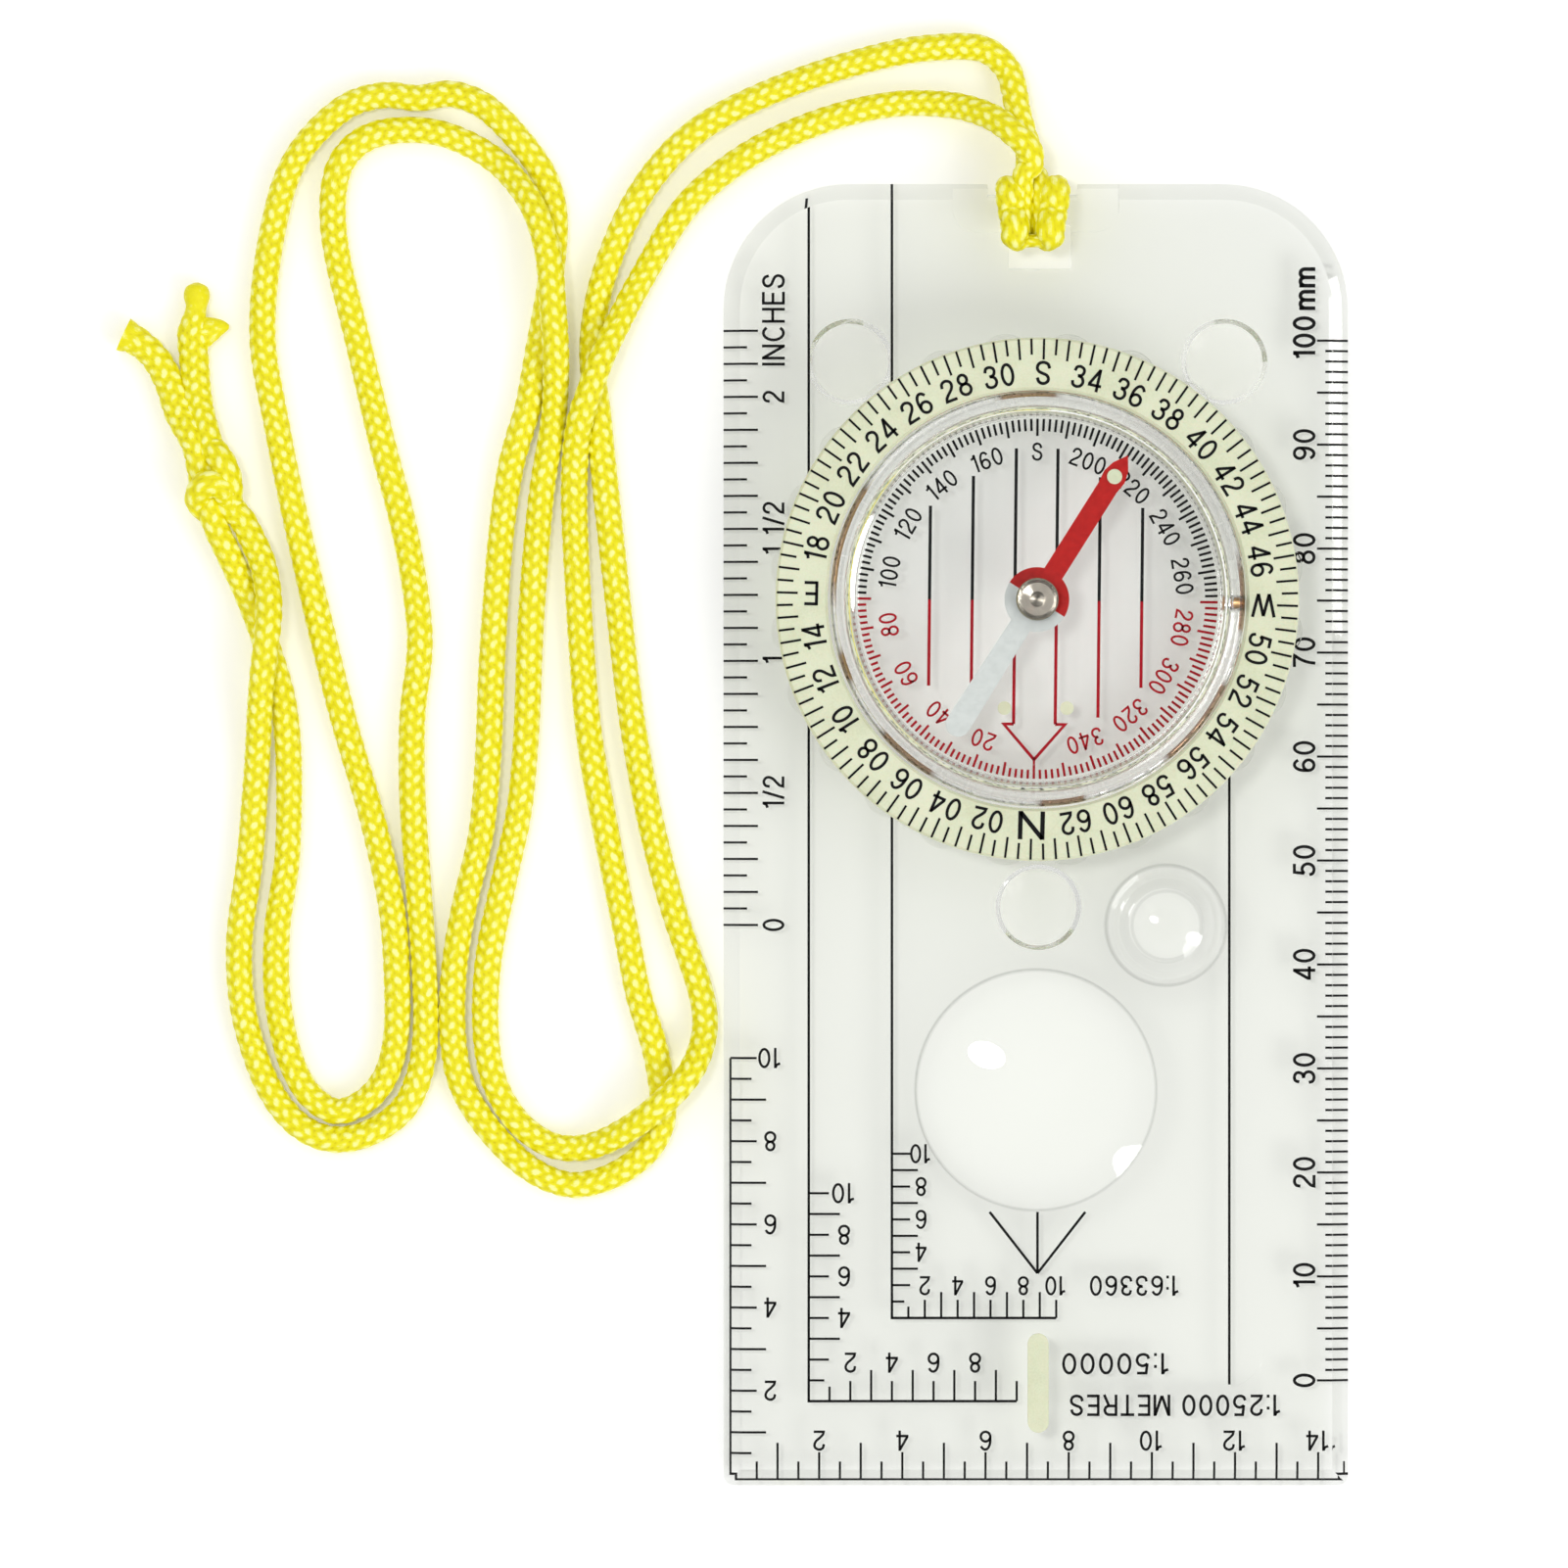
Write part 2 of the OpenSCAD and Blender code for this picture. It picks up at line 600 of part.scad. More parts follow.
module lanyard_cord() {
    color([0.95, 0.92, 0.1]) {
        cord(smooth_path(lay(first_run), 3.5));
        cord(smooth_path(lay(second_run), 3.5));
    }
}

// Barrel that encloses the overhand knot, lying along the cord
module lanyard_knot() {
    bow_r = 7;
    color([0.95, 0.92, 0.1])
        translate([knot_at.x, knot_at.y, knot_d / 2 + cord_gap]) rotate([0, 0, knot_turn])
            rotate([90, 0, 0]) rotate_extrude() intersection() {
                translate([knot_d / 2 - bow_r, 0]) circle(bow_r);
                translate([0, -knot_l / 2]) square([knot_d, knot_l]);
            }
}

// Free ends: the left is cut and flares, the right is melted to a bead
module lanyard_ends() {
    side_flap = [[-81.2, 26, cord_z, 1], [-79.9, 26.3, cord_z, 0.8], [-78.9, 26.4, cord_z, 0.4]];
    cut_end = [[-81.6, 14.4, 2.6, 1.2], [-82.7, 18.2, 1.7, cord_r], [-83.8, 21.6, cord_z, cord_r],
               [-85.2, 24, cord_z, cord_r], [-87.6, 25.9, cord_z + 0.1, 1.3]];
    melted_end = [[-79.2, 15.2, 2.6, 1.2], [-80, 18.2, 1.7, cord_r],
                  [-80.8, 22, cord_z, cord_r], [-81.2, 26, cord_z, cord_r],
                  [-80.9, 28, cord_z, 0.95], [-80.8, 29, cord_z, 1.25],
                  [-80.8, 30, cord_z, 1.1], [-80.8, 30.6, cord_z, 0.3]];
    color([0.95, 0.92, 0.1]) {
        cord(smooth_path(cut_end, 2));
        cord(smooth_path(melted_end, 1.5));
        cord(smooth_path(side_flap, 1.5));
    }
}

baseplate();
rubber_feet();
luminous_index_bar();
retaining_ring();
bezel_grip_ring();
luminous_dial_ring();
capsule_cup();
capsule_cover();
fill_plug();
pivot_pin();
capsule_lume_dots();
magnetic_needle();
needle_lume_dot();
needle_cap();
pivot_jewel();
lanyard_hitch();
lanyard_cord();
lanyard_knot();
lanyard_ends();
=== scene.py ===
"""Looks of the baseplate compass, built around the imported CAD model.

Lengths are in millimetres until they reach a mesh, where MM turns them into metres.
"""
import json
import math

import bmesh
import bpy
import numpy as np
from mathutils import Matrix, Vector


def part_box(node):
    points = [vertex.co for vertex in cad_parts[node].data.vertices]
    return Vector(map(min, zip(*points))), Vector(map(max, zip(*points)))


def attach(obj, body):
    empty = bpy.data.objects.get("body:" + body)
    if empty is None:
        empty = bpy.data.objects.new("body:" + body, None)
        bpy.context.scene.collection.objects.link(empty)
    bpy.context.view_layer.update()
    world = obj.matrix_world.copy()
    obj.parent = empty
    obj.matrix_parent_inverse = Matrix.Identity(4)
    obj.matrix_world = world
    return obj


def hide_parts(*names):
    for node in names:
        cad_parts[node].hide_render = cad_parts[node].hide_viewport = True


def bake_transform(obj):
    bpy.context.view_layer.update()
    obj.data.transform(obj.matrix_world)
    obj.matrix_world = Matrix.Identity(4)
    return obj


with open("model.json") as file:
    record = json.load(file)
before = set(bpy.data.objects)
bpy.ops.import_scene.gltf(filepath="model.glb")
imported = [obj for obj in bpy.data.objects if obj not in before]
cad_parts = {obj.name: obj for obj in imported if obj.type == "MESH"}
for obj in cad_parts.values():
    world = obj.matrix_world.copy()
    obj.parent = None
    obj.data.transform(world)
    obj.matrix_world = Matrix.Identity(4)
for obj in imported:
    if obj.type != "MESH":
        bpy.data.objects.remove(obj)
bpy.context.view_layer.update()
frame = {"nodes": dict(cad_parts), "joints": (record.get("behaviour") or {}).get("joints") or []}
MM = 0.001


def corners(node):
    """A CAD node's lowest and highest corners in millimetres."""
    low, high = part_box(node)
    return low / MM, high / MM


# ---- Places taken from the frame ---------------------------------------------------------

PLATE_LOW, PLATE_HIGH = corners("baseplate")
CAPSULE_FLOOR_Z = corners("capsule_lume_dots")[0].z
RING_HIGH = corners("luminous_dial_ring")[1]
HITCH_LOW, HITCH_HIGH = corners("lanyard_hitch")
HITCH_X = (HITCH_LOW.x + HITCH_HIGH.x) / 2
KNOT_AT = (sum(corners("lanyard_knot"), Vector()) / 2).to_2d()
NEEDLE_DOT_AT = (sum(corners("needle_lume_dot"), Vector()) / 2).to_2d()
NEEDLE_BEARING = math.atan2(NEEDLE_DOT_AT.x, NEEDLE_DOT_AT.y)
LANYARD_SWING = next(j for j in frame["joints"] if j["name"] == "lanyard_swing")
SWING_Y = LANYARD_SWING["pos_m"][1] / MM

# The rounded bar that the hitch grips, between the plate's lanyard end and its slot
BAR_Z = 3.5
BAR_IN_Y, BAR_OUT_Y = PLATE_HIGH.y - 4, PLATE_HIGH.y - 1
BAR_ROUND = 0.65

# Moulded lenses as (x, y, radius). The small one has a second rim inside.
LENSES = ((0, -47, 11.5), (12.5, -31.2, 5.75), (12.5, -31.2, 3.3))
# The painted reflection of the metal ring in the capsule's wall starts this far from the pivot
RING_REFLECTION_R = 19.2

# The plate's ink lies just inside its lower face, and the dial's and the ring's lies a hair
# above their faces
PRINT_T = 0.03
PLATE_PRINT_Z = PLATE_LOW.z + 0.02
DIAL_PRINT_Z = CAPSULE_FLOOR_Z + 0.002
RING_PRINT_Z = RING_HIGH.z + 0.002


# ---- Materials ---------------------------------------------------------------------------

class Finish:
    """A procedural material. Nodes are added by type, and inputs are set or linked by name."""

    def __init__(self, name):
        self.material = bpy.data.materials.new(name)
        self.material.use_nodes = True
        self.nodes = self.material.node_tree.nodes
        self.links = self.material.node_tree.links
        self.surface = self.nodes["Principled BSDF"]
        self.output = self.nodes["Material Output"]

    def set(self, node, inputs):
        for key, value in inputs.items():
            if isinstance(value, bpy.types.NodeSocket):
                self.links.new(value, node.inputs[key])
            else:
                node.inputs[key].default_value = value

    def add(self, kind, inputs, **settings):
        made = self.nodes.new("ShaderNode" + kind)
        for key, value in settings.items():
            setattr(made, key, value)
        self.set(made, inputs)
        return made

    def place(self, stretch=(1, 1, 1)):
        """Position in the piece's own space, scaled by stretch."""
        spot = self.add("TexCoord", {}).outputs["Object"]
        return self.add("Mapping", {"Vector": spot, "Scale": stretch}).outputs["Vector"]

    def noise(self, size, detail=2.0, stretch=(1, 1, 1)):
        """Noise with features of about the given size in millimetres."""
        inputs = {"Vector": self.place(stretch), "Scale": 1 / (size * MM), "Detail": detail}
        return self.add("TexNoise", inputs).outputs["Fac"]

    def ramp(self, factor, *stops):
        """Colour or grey value that follows factor through (position, value) stops."""
        made = self.add("ValToRGB", {"Fac": factor})
        band = made.color_ramp
        while len(band.elements) < len(stops):
            band.elements.new(0.5)
        for element, (position, value) in zip(band.elements, stops):
            element.position = position
            grey = isinstance(value, (int, float))
            element.color = (value, value, value, 1) if grey else (*value, 1)
        return made.outputs["Color"]

    def math(self, operation, a, b=0.0):
        made = self.add("Math", {}, operation=operation)
        self.set(made, {0: a, 1: b})
        return made.outputs[0]

    def mix(self, factor, a, b, blend="MIX"):
        made = self.add("Mix", {"Factor": factor}, data_type="RGBA", blend_type=blend)
        self.set(made, {6: a, 7: b})
        return made.outputs[2]

    def distance(self, x, y):
        """Distance in millimetres from the upright line through (x, y)."""
        spot = self.add("VectorMath", {0: self.place(), 1: (x * MM, y * MM, 0)},
                        operation="SUBTRACT").outputs[0]
        flat = self.add("VectorMath", {0: spot, 1: (1, 1, 0)}, operation="MULTIPLY").outputs[0]
        length = self.add("VectorMath", {0: flat}, operation="LENGTH").outputs["Value"]
        return self.math("DIVIDE", length, MM)

    def band(self, value, middle, half_width):
        """1 where value is at the middle, fading to 0 at half_width from it."""
        off = self.math("DIVIDE", self.math("ABSOLUTE", self.math("SUBTRACT", value, middle)),
                        half_width)
        return self.ramp(off, (0.0, 1.0), (0.55, 0.8), (1.0, 0.0))

    def ringed(self, tint, colour, start):
        """tint, with broken arcs of another colour outside the radius start in millimetres: a
        painted reflection of a metal ring in a clear wall.
        """
        spot = self.place()
        flat = self.add("VectorMath", {0: spot, 1: (1, 1, 0)}, operation="MULTIPLY").outputs[0]
        radius = self.add("VectorMath", {0: flat}, operation="LENGTH").outputs["Value"]
        way = self.add("VectorMath", {0: flat}, operation="NORMALIZE").outputs[0]
        arcs = self.add("TexNoise", {"Vector": way, "Scale": 1.9, "Detail": 1.5}).outputs["Fac"]
        outside = self.math("GREATER_THAN", radius, start * MM)
        shown = self.math("MULTIPLY", outside, self.ramp(arcs, (0.46, 0.0), (0.51, 1.0)))
        return self.mix(shown, (*tint, 1), (*colour, 1))

    def bump(self, height, depth, strength=1.0):
        """Surface relief of the given depth in millimetres."""
        inputs = {"Height": height, "Distance": depth * MM, "Strength": strength}
        return self.add("Bump", inputs).outputs["Normal"]

    def finish(self, **inputs):
        names = {key.replace("_", " "): value for key, value in inputs.items()}
        self.set(self.surface, names)
        return self.material


WHITE = (1, 1, 1, 1)
TOUCHING = 0.004          # clear faces closer than this count as one face
# Painted shade: a clear surface, as the camera sees it, darkens as it turns away from the eye
EDGE_SHADE = ((0.0, 1.0), (0.03, 0.99), (0.07, 0.965), (0.24, 0.88), (0.5, 0.84), (1.0, 0.78))


def lens_shading(f, x, y, rim):
    """Painted light and shade of a moulded lens: a thin line of painted shade on its rim that dims
    what is seen through it, and, in the light that it lets by, painted light near its middle and
    a soft painted shadow ring about the rim."""
    away = f.distance(x, y)
    line = f.math("MULTIPLY", f.band(away, rim, 0.22), 0.26)
    painted_caustic = f.math("MULTIPLY", f.band(away, rim * 0.3, rim * 0.65), 0.05)
    ring = f.math("MULTIPLY", f.band(away, rim + 0.2, 1.9), 0.12)
    return (f.math("SUBTRACT", 1.0, line),
            f.math("SUBTRACT", f.math("ADD", 1.0, painted_caustic), ring))


def clear_plastic(name, tint, shade, roughness=0.01, ior=1.49, wear=0.02, painted_ring_reflection=None,
                  lenses=()):
    """Clear plastic: what is behind it is refracted and tinted, and light that falls through
    it is dimmed by shade. painted_ring_reflection is the colour, and the radius it starts at, of
    a painted reflection of a metal ring in its wall, which only the camera sees. Each of the
    lenses is (x, y, radius)."""
    f = Finish(name)
    scuffs = f.noise(0.6, 6, (1, 0.15, 1))
    rough = f.ramp(scuffs, (0.45, roughness), (0.75, roughness + wear))
    f.finish(Roughness=rough, IOR=ior, Transmission_Weight=1.0,
             Normal=f.bump(f.noise(14, 1), 0.05, 0.35))
    path = f.add("LightPath", {})
    seen = path.outputs["Is Camera Ray"]
    dimmed, tint_and_painted_light = (*shade, 1), (*tint, 1)
    # painted reflection of the metal ring: dark broken arcs in the wall, for camera rays only
    if painted_ring_reflection:
        tint_and_painted_light = f.mix(seen, tint_and_painted_light, f.ringed(tint, *painted_ring_reflection))
    for lens in lenses:
        # each lens paints a shaded line on its rim, and a pool of light with a shadow ring about
        # it
        painted_rim_shade, painted_caustic_and_shadow = lens_shading(f, *lens)
        tint_and_painted_light = f.mix(1.0, tint_and_painted_light, painted_rim_shade, "MULTIPLY")
        dimmed = f.mix(1.0, dimmed, painted_caustic_and_shadow, "MULTIPLY")
    # painted shade on the faces that turn from the eye, for camera rays only
    facing = f.add("LayerWeight", {"Blend": 0.5}).outputs["Facing"]
    painted_edge_shade = f.mix(seen, WHITE, f.ramp(facing, *EDGE_SHADE))
    f.set(f.surface, {"Base Color": f.mix(1.0, painted_edge_shade, tint_and_painted_light, "MULTIPLY")})
    touching = f.math("LESS_THAN", path.outputs["Ray Length"], TOUCHING * MM)
    passed = f.mix(touching, dimmed, WHITE)
    through = f.add("BsdfTransparent", {"Color": passed}).outputs[0]
    passes = f.math("MAXIMUM", path.outputs["Is Shadow Ray"], path.outputs["Is Diffuse Ray"])
    mixed = f.add("MixShader", {"Fac": f.math("MAXIMUM", passes, touching)})
    f.links.new(f.surface.outputs[0], mixed.inputs[1])
    f.links.new(through, mixed.inputs[2])
    f.links.new(mixed.outputs[0], f.output.inputs["Surface"])
    return f.material


def luminous_plastic():
    """Pale green moulding with phosphor pigment: faint speckle and a soft satin surface."""
    f = Finish("luminous_plastic")
    cloud = f.noise(3.5, 3)
    speckle = f.noise(0.18, 2)
    mixed = f.math("ADD", f.math("MULTIPLY", cloud, 0.6), f.math("MULTIPLY", speckle, 0.4))
    colour = f.ramp(mixed, (0.35, (0.63, 0.66, 0.45)), (0.5, (0.69, 0.72, 0.51)),
                    (0.68, (0.74, 0.76, 0.56)))
    return f.finish(Base_Color=colour, Roughness=f.ramp(speckle, (0.3, 0.32), (0.7, 0.48)),
                    Subsurface_Weight=0.12, Subsurface_Scale=0.6 * MM,
                    Normal=f.bump(speckle, 0.01, 0.4))


TOOL_MARK = 0.09          # spacing of the rings that turning leaves


def metal(name, colour, roughness, turned=False):
    """Bare metal: fine lines along it when drawn, and rings about its axis when turned."""
    f = Finish(name)
    if turned:
        spot = f.add("SeparateXYZ", {"Vector": f.place()})
        square = [f.math("MULTIPLY", spot.outputs[i], spot.outputs[i]) for i in (0, 1)]
        radius = f.math("SQRT", f.math("ADD", *square))
        lines = f.math("SINE", f.math("MULTIPLY", radius, 2 * math.pi / (TOOL_MARK * MM)))
    else:
        lines = f.noise(0.05, 2, (1, 1, 0.2))
    tarnish = f.noise(1.2, 4)
    shade = f.ramp(tarnish, (0.3, tuple(c * 0.78 for c in colour)), (0.7, colour))
    return f.finish(Base_Color=shade, Metallic=1.0,
                    Roughness=f.ramp(tarnish, (0.3, roughness + 0.1), (0.7, roughness)),
                    Normal=f.bump(lines, 0.003, 0.5))


def needle_paint():
    """Red on the north half and white on the south half, split across the hub."""
    f = Finish("needle_paint")
    spot = f.add("SeparateXYZ", {"Vector": f.place()})
    north = f.math("ADD", f.math("MULTIPLY", spot.outputs[0], math.sin(NEEDLE_BEARING)),
                   f.math("MULTIPLY", spot.outputs[1], math.cos(NEEDLE_BEARING)))
    is_red = f.math("GREATER_THAN", north, 0.0)
    dust = f.noise(0.5, 3)
    red = f.ramp(dust, (0.35, (0.42, 0.002, 0.001)), (0.65, (0.50, 0.005, 0.003)))
    white = f.ramp(dust, (0.35, (0.66, 0.70, 0.68)), (0.65, (0.73, 0.77, 0.75)))
    return f.finish(Base_Color=f.mix(is_red, white, red), Roughness=0.4,
                    Specular_IOR_Level=0.2, Normal=f.bump(f.noise(0.25, 3), 0.01, 0.4))


def ink(name, colour):
    """Screen-printed ink, a little uneven in density."""
    f = Finish(name)
    density = f.noise(0.35, 3)
    thin = tuple(min(1, c * 1.3 + 0.004) for c in colour)
    return f.finish(Base_Color=f.ramp(density, (0.35, colour), (0.75, thin)), Roughness=0.6,
                    Specular_IOR_Level=0.12)


def stone():
    """Synthetic ruby of the bearing."""
    f = Finish("stone")
    cloud = f.noise(0.3, 2)
    colour = f.ramp(cloud, (0.3, (0.45, 0.01, 0.04)), (0.7, (0.62, 0.03, 0.08)))
    return f.finish(Base_Color=colour, Roughness=0.05, IOR=1.76, Coat_Weight=0.6)


def yarn():
    """Glossy yellow filament yarn, darkened by painted shade in the gaps between floats and
    lightened by painted highlights on the crests. The stitch attribute is 0 in the gaps and 1 on
    the crests.
    """
    f = Finish("cord_yellow")
    stitch = f.add("Attribute", {}, attribute_name="stitch").outputs["Fac"]
    lay = f.add("UVMap", {}, uv_map="lay").outputs["UV"]
    drawn = f.add("Mapping", {"Vector": lay, "Scale": (16, 2.2, 1)}).outputs["Vector"]
    strands = f.add("TexNoise", {"Vector": drawn, "Scale": 1.0, "Detail": 3.0}).outputs["Fac"]
    patchy_tone_and_highlights = f.math("ADD", f.math("MULTIPLY", strands, 0.30),
                    f.math("MULTIPLY", f.noise(0.7), 0.34))
    height = f.math("ADD", f.math("MULTIPLY", stitch, 0.68), patchy_tone_and_highlights)
    # colour runs from painted shade in the gaps through the yarn's own yellow to painted
    # highlights on the crests
    colour = f.ramp(height, (0.30, (0.46, 0.33, 0.0)), (0.50, (0.70, 0.58, 0.0)),
                    (0.72, (0.84, 0.75, 0.001)), (0.88, (0.88, 0.81, 0.006)),
                    (0.98, (1.0, 1.0, 0.34)))
    return f.finish(Base_Color=colour, Roughness=f.ramp(strands, (0.3, 0.34), (0.7, 0.5)),
                    Sheen_Weight=0.05, Sheen_Roughness=0.4, Sheen_Tint=(1, 1, 0.5, 1),
                    Specular_IOR_Level=0.28, Normal=f.bump(strands, 0.05, 0.6))


CLEAR = {
    "clear_acrylic": dict(tint=(0.98, 0.985, 0.97), shade=(0.898, 0.905, 0.876), lenses=LENSES),
    "capsule_cup": dict(tint=(0.985, 0.99, 0.98), shade=(0.968, 0.972, 0.962), wear=0.004),
    # the capsule cover carries a painted reflection of the metal ring in its wall
    "capsule_cover": dict(tint=(0.99, 0.99, 0.985), shade=(0.973, 0.973, 0.968), wear=0.004,
                          painted_ring_reflection=((0.13, 0.05, 0.02), RING_REFLECTION_R)),
    "bezel_grip_ring": dict(tint=(0.99, 0.99, 0.98), shade=(0.96, 0.965, 0.95)),
    "clear_rubber": dict(tint=(0.998, 0.998, 0.99), shade=(0.995, 0.995, 0.99),
                         roughness=0.02, ior=1.24, wear=0.004),
}
METALS = {
    "bronze_wire": dict(colour=(0.72, 0.33, 0.16), roughness=0.25),
    "brass_plug": dict(colour=(0.60, 0.36, 0.16), roughness=0.35),
    "pin_steel": dict(colour=(0.60, 0.61, 0.62), roughness=0.2),
    "nickel": dict(colour=(0.52, 0.48, 0.41), roughness=0.11, turned=True),
}
INKS = {"black_ink": (0.003, 0.003, 0.0035), "red_ink": (0.36, 0.003, 0.012)}
MATERIALS = {
    **{name: clear_plastic(name, **look) for name, look in CLEAR.items()},
    **{name: metal(name, **look) for name, look in METALS.items()},
    **{name: ink(name, colour) for name, colour in INKS.items()},
    "luminous_plastic": luminous_plastic(),
    "needle_paint": needle_paint(),
    "stone": stone(),
    "cord_yellow": yarn(),
}


def dress_cad_nodes():
    """Gives every CAD node its own material, or the one that its slot is named after."""
    for name, node in frame["nodes"].items():
        for slot in node.material_slots:
            finish = name if name in MATERIALS else slot.material.name
            slot.link = "OBJECT"
            slot.material = MATERIALS[finish.split(".")[0]]


# ---- Printing ----------------------------------------------------------------------------

def arc(x, y, rx, ry, start, stop, steps=10):
    """Points on an ellipse about (x, y), between two angles in degrees."""
    angles = [math.radians(start + (stop - start) * i / steps) for i in range(steps + 1)]
    return [(x + rx * math.cos(a), y + ry * math.sin(a)) for a in angles]


def soft(points, steps=4):
    """A smooth line through the points."""
    p = np.array(points, float)
    p = np.vstack([2 * p[0] - p[1], p, 2 * p[-1] - p[-2]])
    out = []
    for i in range(1, len(p) - 2):
        a, b, c, d = p[i - 1:i + 3]
        for t in np.arange(steps) / steps:
            out.append(0.5 * (2 * b + (c - a) * t + (2 * a - 5 * b + 4 * c - d) * t ** 2
                              + (3 * b - a - 3 * c + d) * t ** 3))
    return [tuple(q) for q in out] + [tuple(p[-2])]


def around(radius, angle):
    """The place at a radius and an angle in degrees about the pivot."""
    return radius * math.cos(math.radians(angle)), radius * math.sin(math.radians(angle))


def stem(x, low=0.0, high=1.0):
    return [(x, low), (x, high)]


def bar_at(y, left, right):
    return [(left, y), (right, y)]


# Every glyph is (width, strokes): centre lines in a cell that is one cap height tall.
SIX = [arc(0.31, 0.30, 0.235, 0.24, 0, 360, 20),
       arc(0.33, 0.50, 0.255, 0.44, 38, 180, 10) + [(0.075, 0.32)]]
GLYPHS = {
    "0": (0.62, [arc(0.31, 0.50, 0.24, 0.44, 0, 360, 24)]),
    "1": (0.44, [stem(0.36), soft([(0.34, 0.96), (0.28, 0.83), (0.12, 0.77)])]),
    "2": (0.62, [soft([(0.08, 0.67), (0.13, 0.86), (0.31, 0.94), (0.49, 0.86), (0.54, 0.70),
                       (0.46, 0.52), (0.27, 0.35), (0.13, 0.20), (0.09, 0.06)])
                 + [(0.58, 0.06)]]),
    "3": (0.62, [soft([(0.09, 0.72), (0.15, 0.89), (0.31, 0.94), (0.47, 0.87), (0.51, 0.73),
                       (0.44, 0.58), (0.26, 0.53)]),
                 soft([(0.28, 0.53), (0.47, 0.47), (0.55, 0.29), (0.47, 0.12), (0.30, 0.06),
                       (0.13, 0.12), (0.07, 0.29)])]),
    "4": (0.64, [stem(0.45), [(0.44, 0.95), (0.07, 0.30)], bar_at(0.27, 0.02, 0.62)]),
    "5": (0.62, [[(0.55, 0.94), (0.17, 0.94), (0.12, 0.49)],
                 soft([(0.11, 0.50), (0.30, 0.60), (0.48, 0.52), (0.55, 0.33), (0.47, 0.13),
                       (0.29, 0.06), (0.12, 0.12), (0.06, 0.27)])]),
    "6": (0.62, SIX),
    "7": (0.60, [[(0.04, 0.94), (0.56, 0.94)] + soft([(0.56, 0.94), (0.38, 0.66), (0.26, 0.34),
                                                      (0.21, 0.0)])[1:]]),
    "8": (0.62, [arc(0.31, 0.735, 0.195, 0.205, 0, 360, 20),
                 arc(0.31, 0.295, 0.24, 0.235, 0, 360, 20)]),
    "9": (0.62, [[(0.62 - x, 1 - y) for x, y in stroke] for stroke in SIX]),
    "N": (0.66, [stem(0.06), [(0.06, 0.96), (0.60, 0.04)], stem(0.60)]),
    "S": (0.62, [soft([(0.55, 0.70), (0.48, 0.87), (0.31, 0.94), (0.14, 0.87), (0.09, 0.73),
                       (0.17, 0.59), (0.33, 0.52), (0.50, 0.43), (0.56, 0.28), (0.49, 0.12),
                       (0.31, 0.06), (0.12, 0.13), (0.05, 0.31)])]),
    "E": (0.58, [stem(0.06), bar_at(0.94, 0.06, 0.56), bar_at(0.52, 0.06, 0.52),
                 bar_at(0.06, 0.06, 0.57)]),
    "W": (0.90, [[(0.0, 1.0), (0.225, 0.04)], [(0.225, 0.04), (0.45, 0.96)],
                 [(0.45, 0.96), (0.675, 0.04)], [(0.675, 0.04), (0.90, 1.0)]]),
    "I": (0.12, [stem(0.06)]),
    "C": (0.68, [arc(0.37, 0.50, 0.31, 0.44, 42, 318, 16)]),
    "H": (0.66, [stem(0.06), stem(0.60), bar_at(0.53, 0.06, 0.60)]),
    "M": (0.76, [stem(0.06), [(0.08, 0.95), (0.38, 0.05)], [(0.38, 0.05), (0.68, 0.95)],
                 stem(0.70)]),
    "T": (0.62, [bar_at(0.94, 0.0, 0.62), stem(0.31)]),
    "R": (0.66, [stem(0.06), [(0.06, 0.94)] + arc(0.38, 0.735, 0.19, 0.205, 90, -90, 8)
                 + [(0.06, 0.53)], [(0.38, 0.53), (0.60, 0.0)]]),
    "m": (0.86, [stem(0.06, 0, 0.72), [(0.06, 0.5)] + arc(0.25, 0.48, 0.18, 0.19, 150, 0, 6)
                 + [(0.43, 0.0)], [(0.43, 0.5)] + arc(0.62, 0.48, 0.18, 0.19, 150, 0, 6)
                 + [(0.80, 0.0)]]),
    "/": (0.36, [[(0.02, 0.0), (0.34, 1.0)]]),
    ":": (0.14, [stem(0.07, 0.0, 0.14), stem(0.07, 0.56, 0.70)]),
    " ": (0.24, []),
}
STROKE = 0.125
LETTER_GAP = 0.15


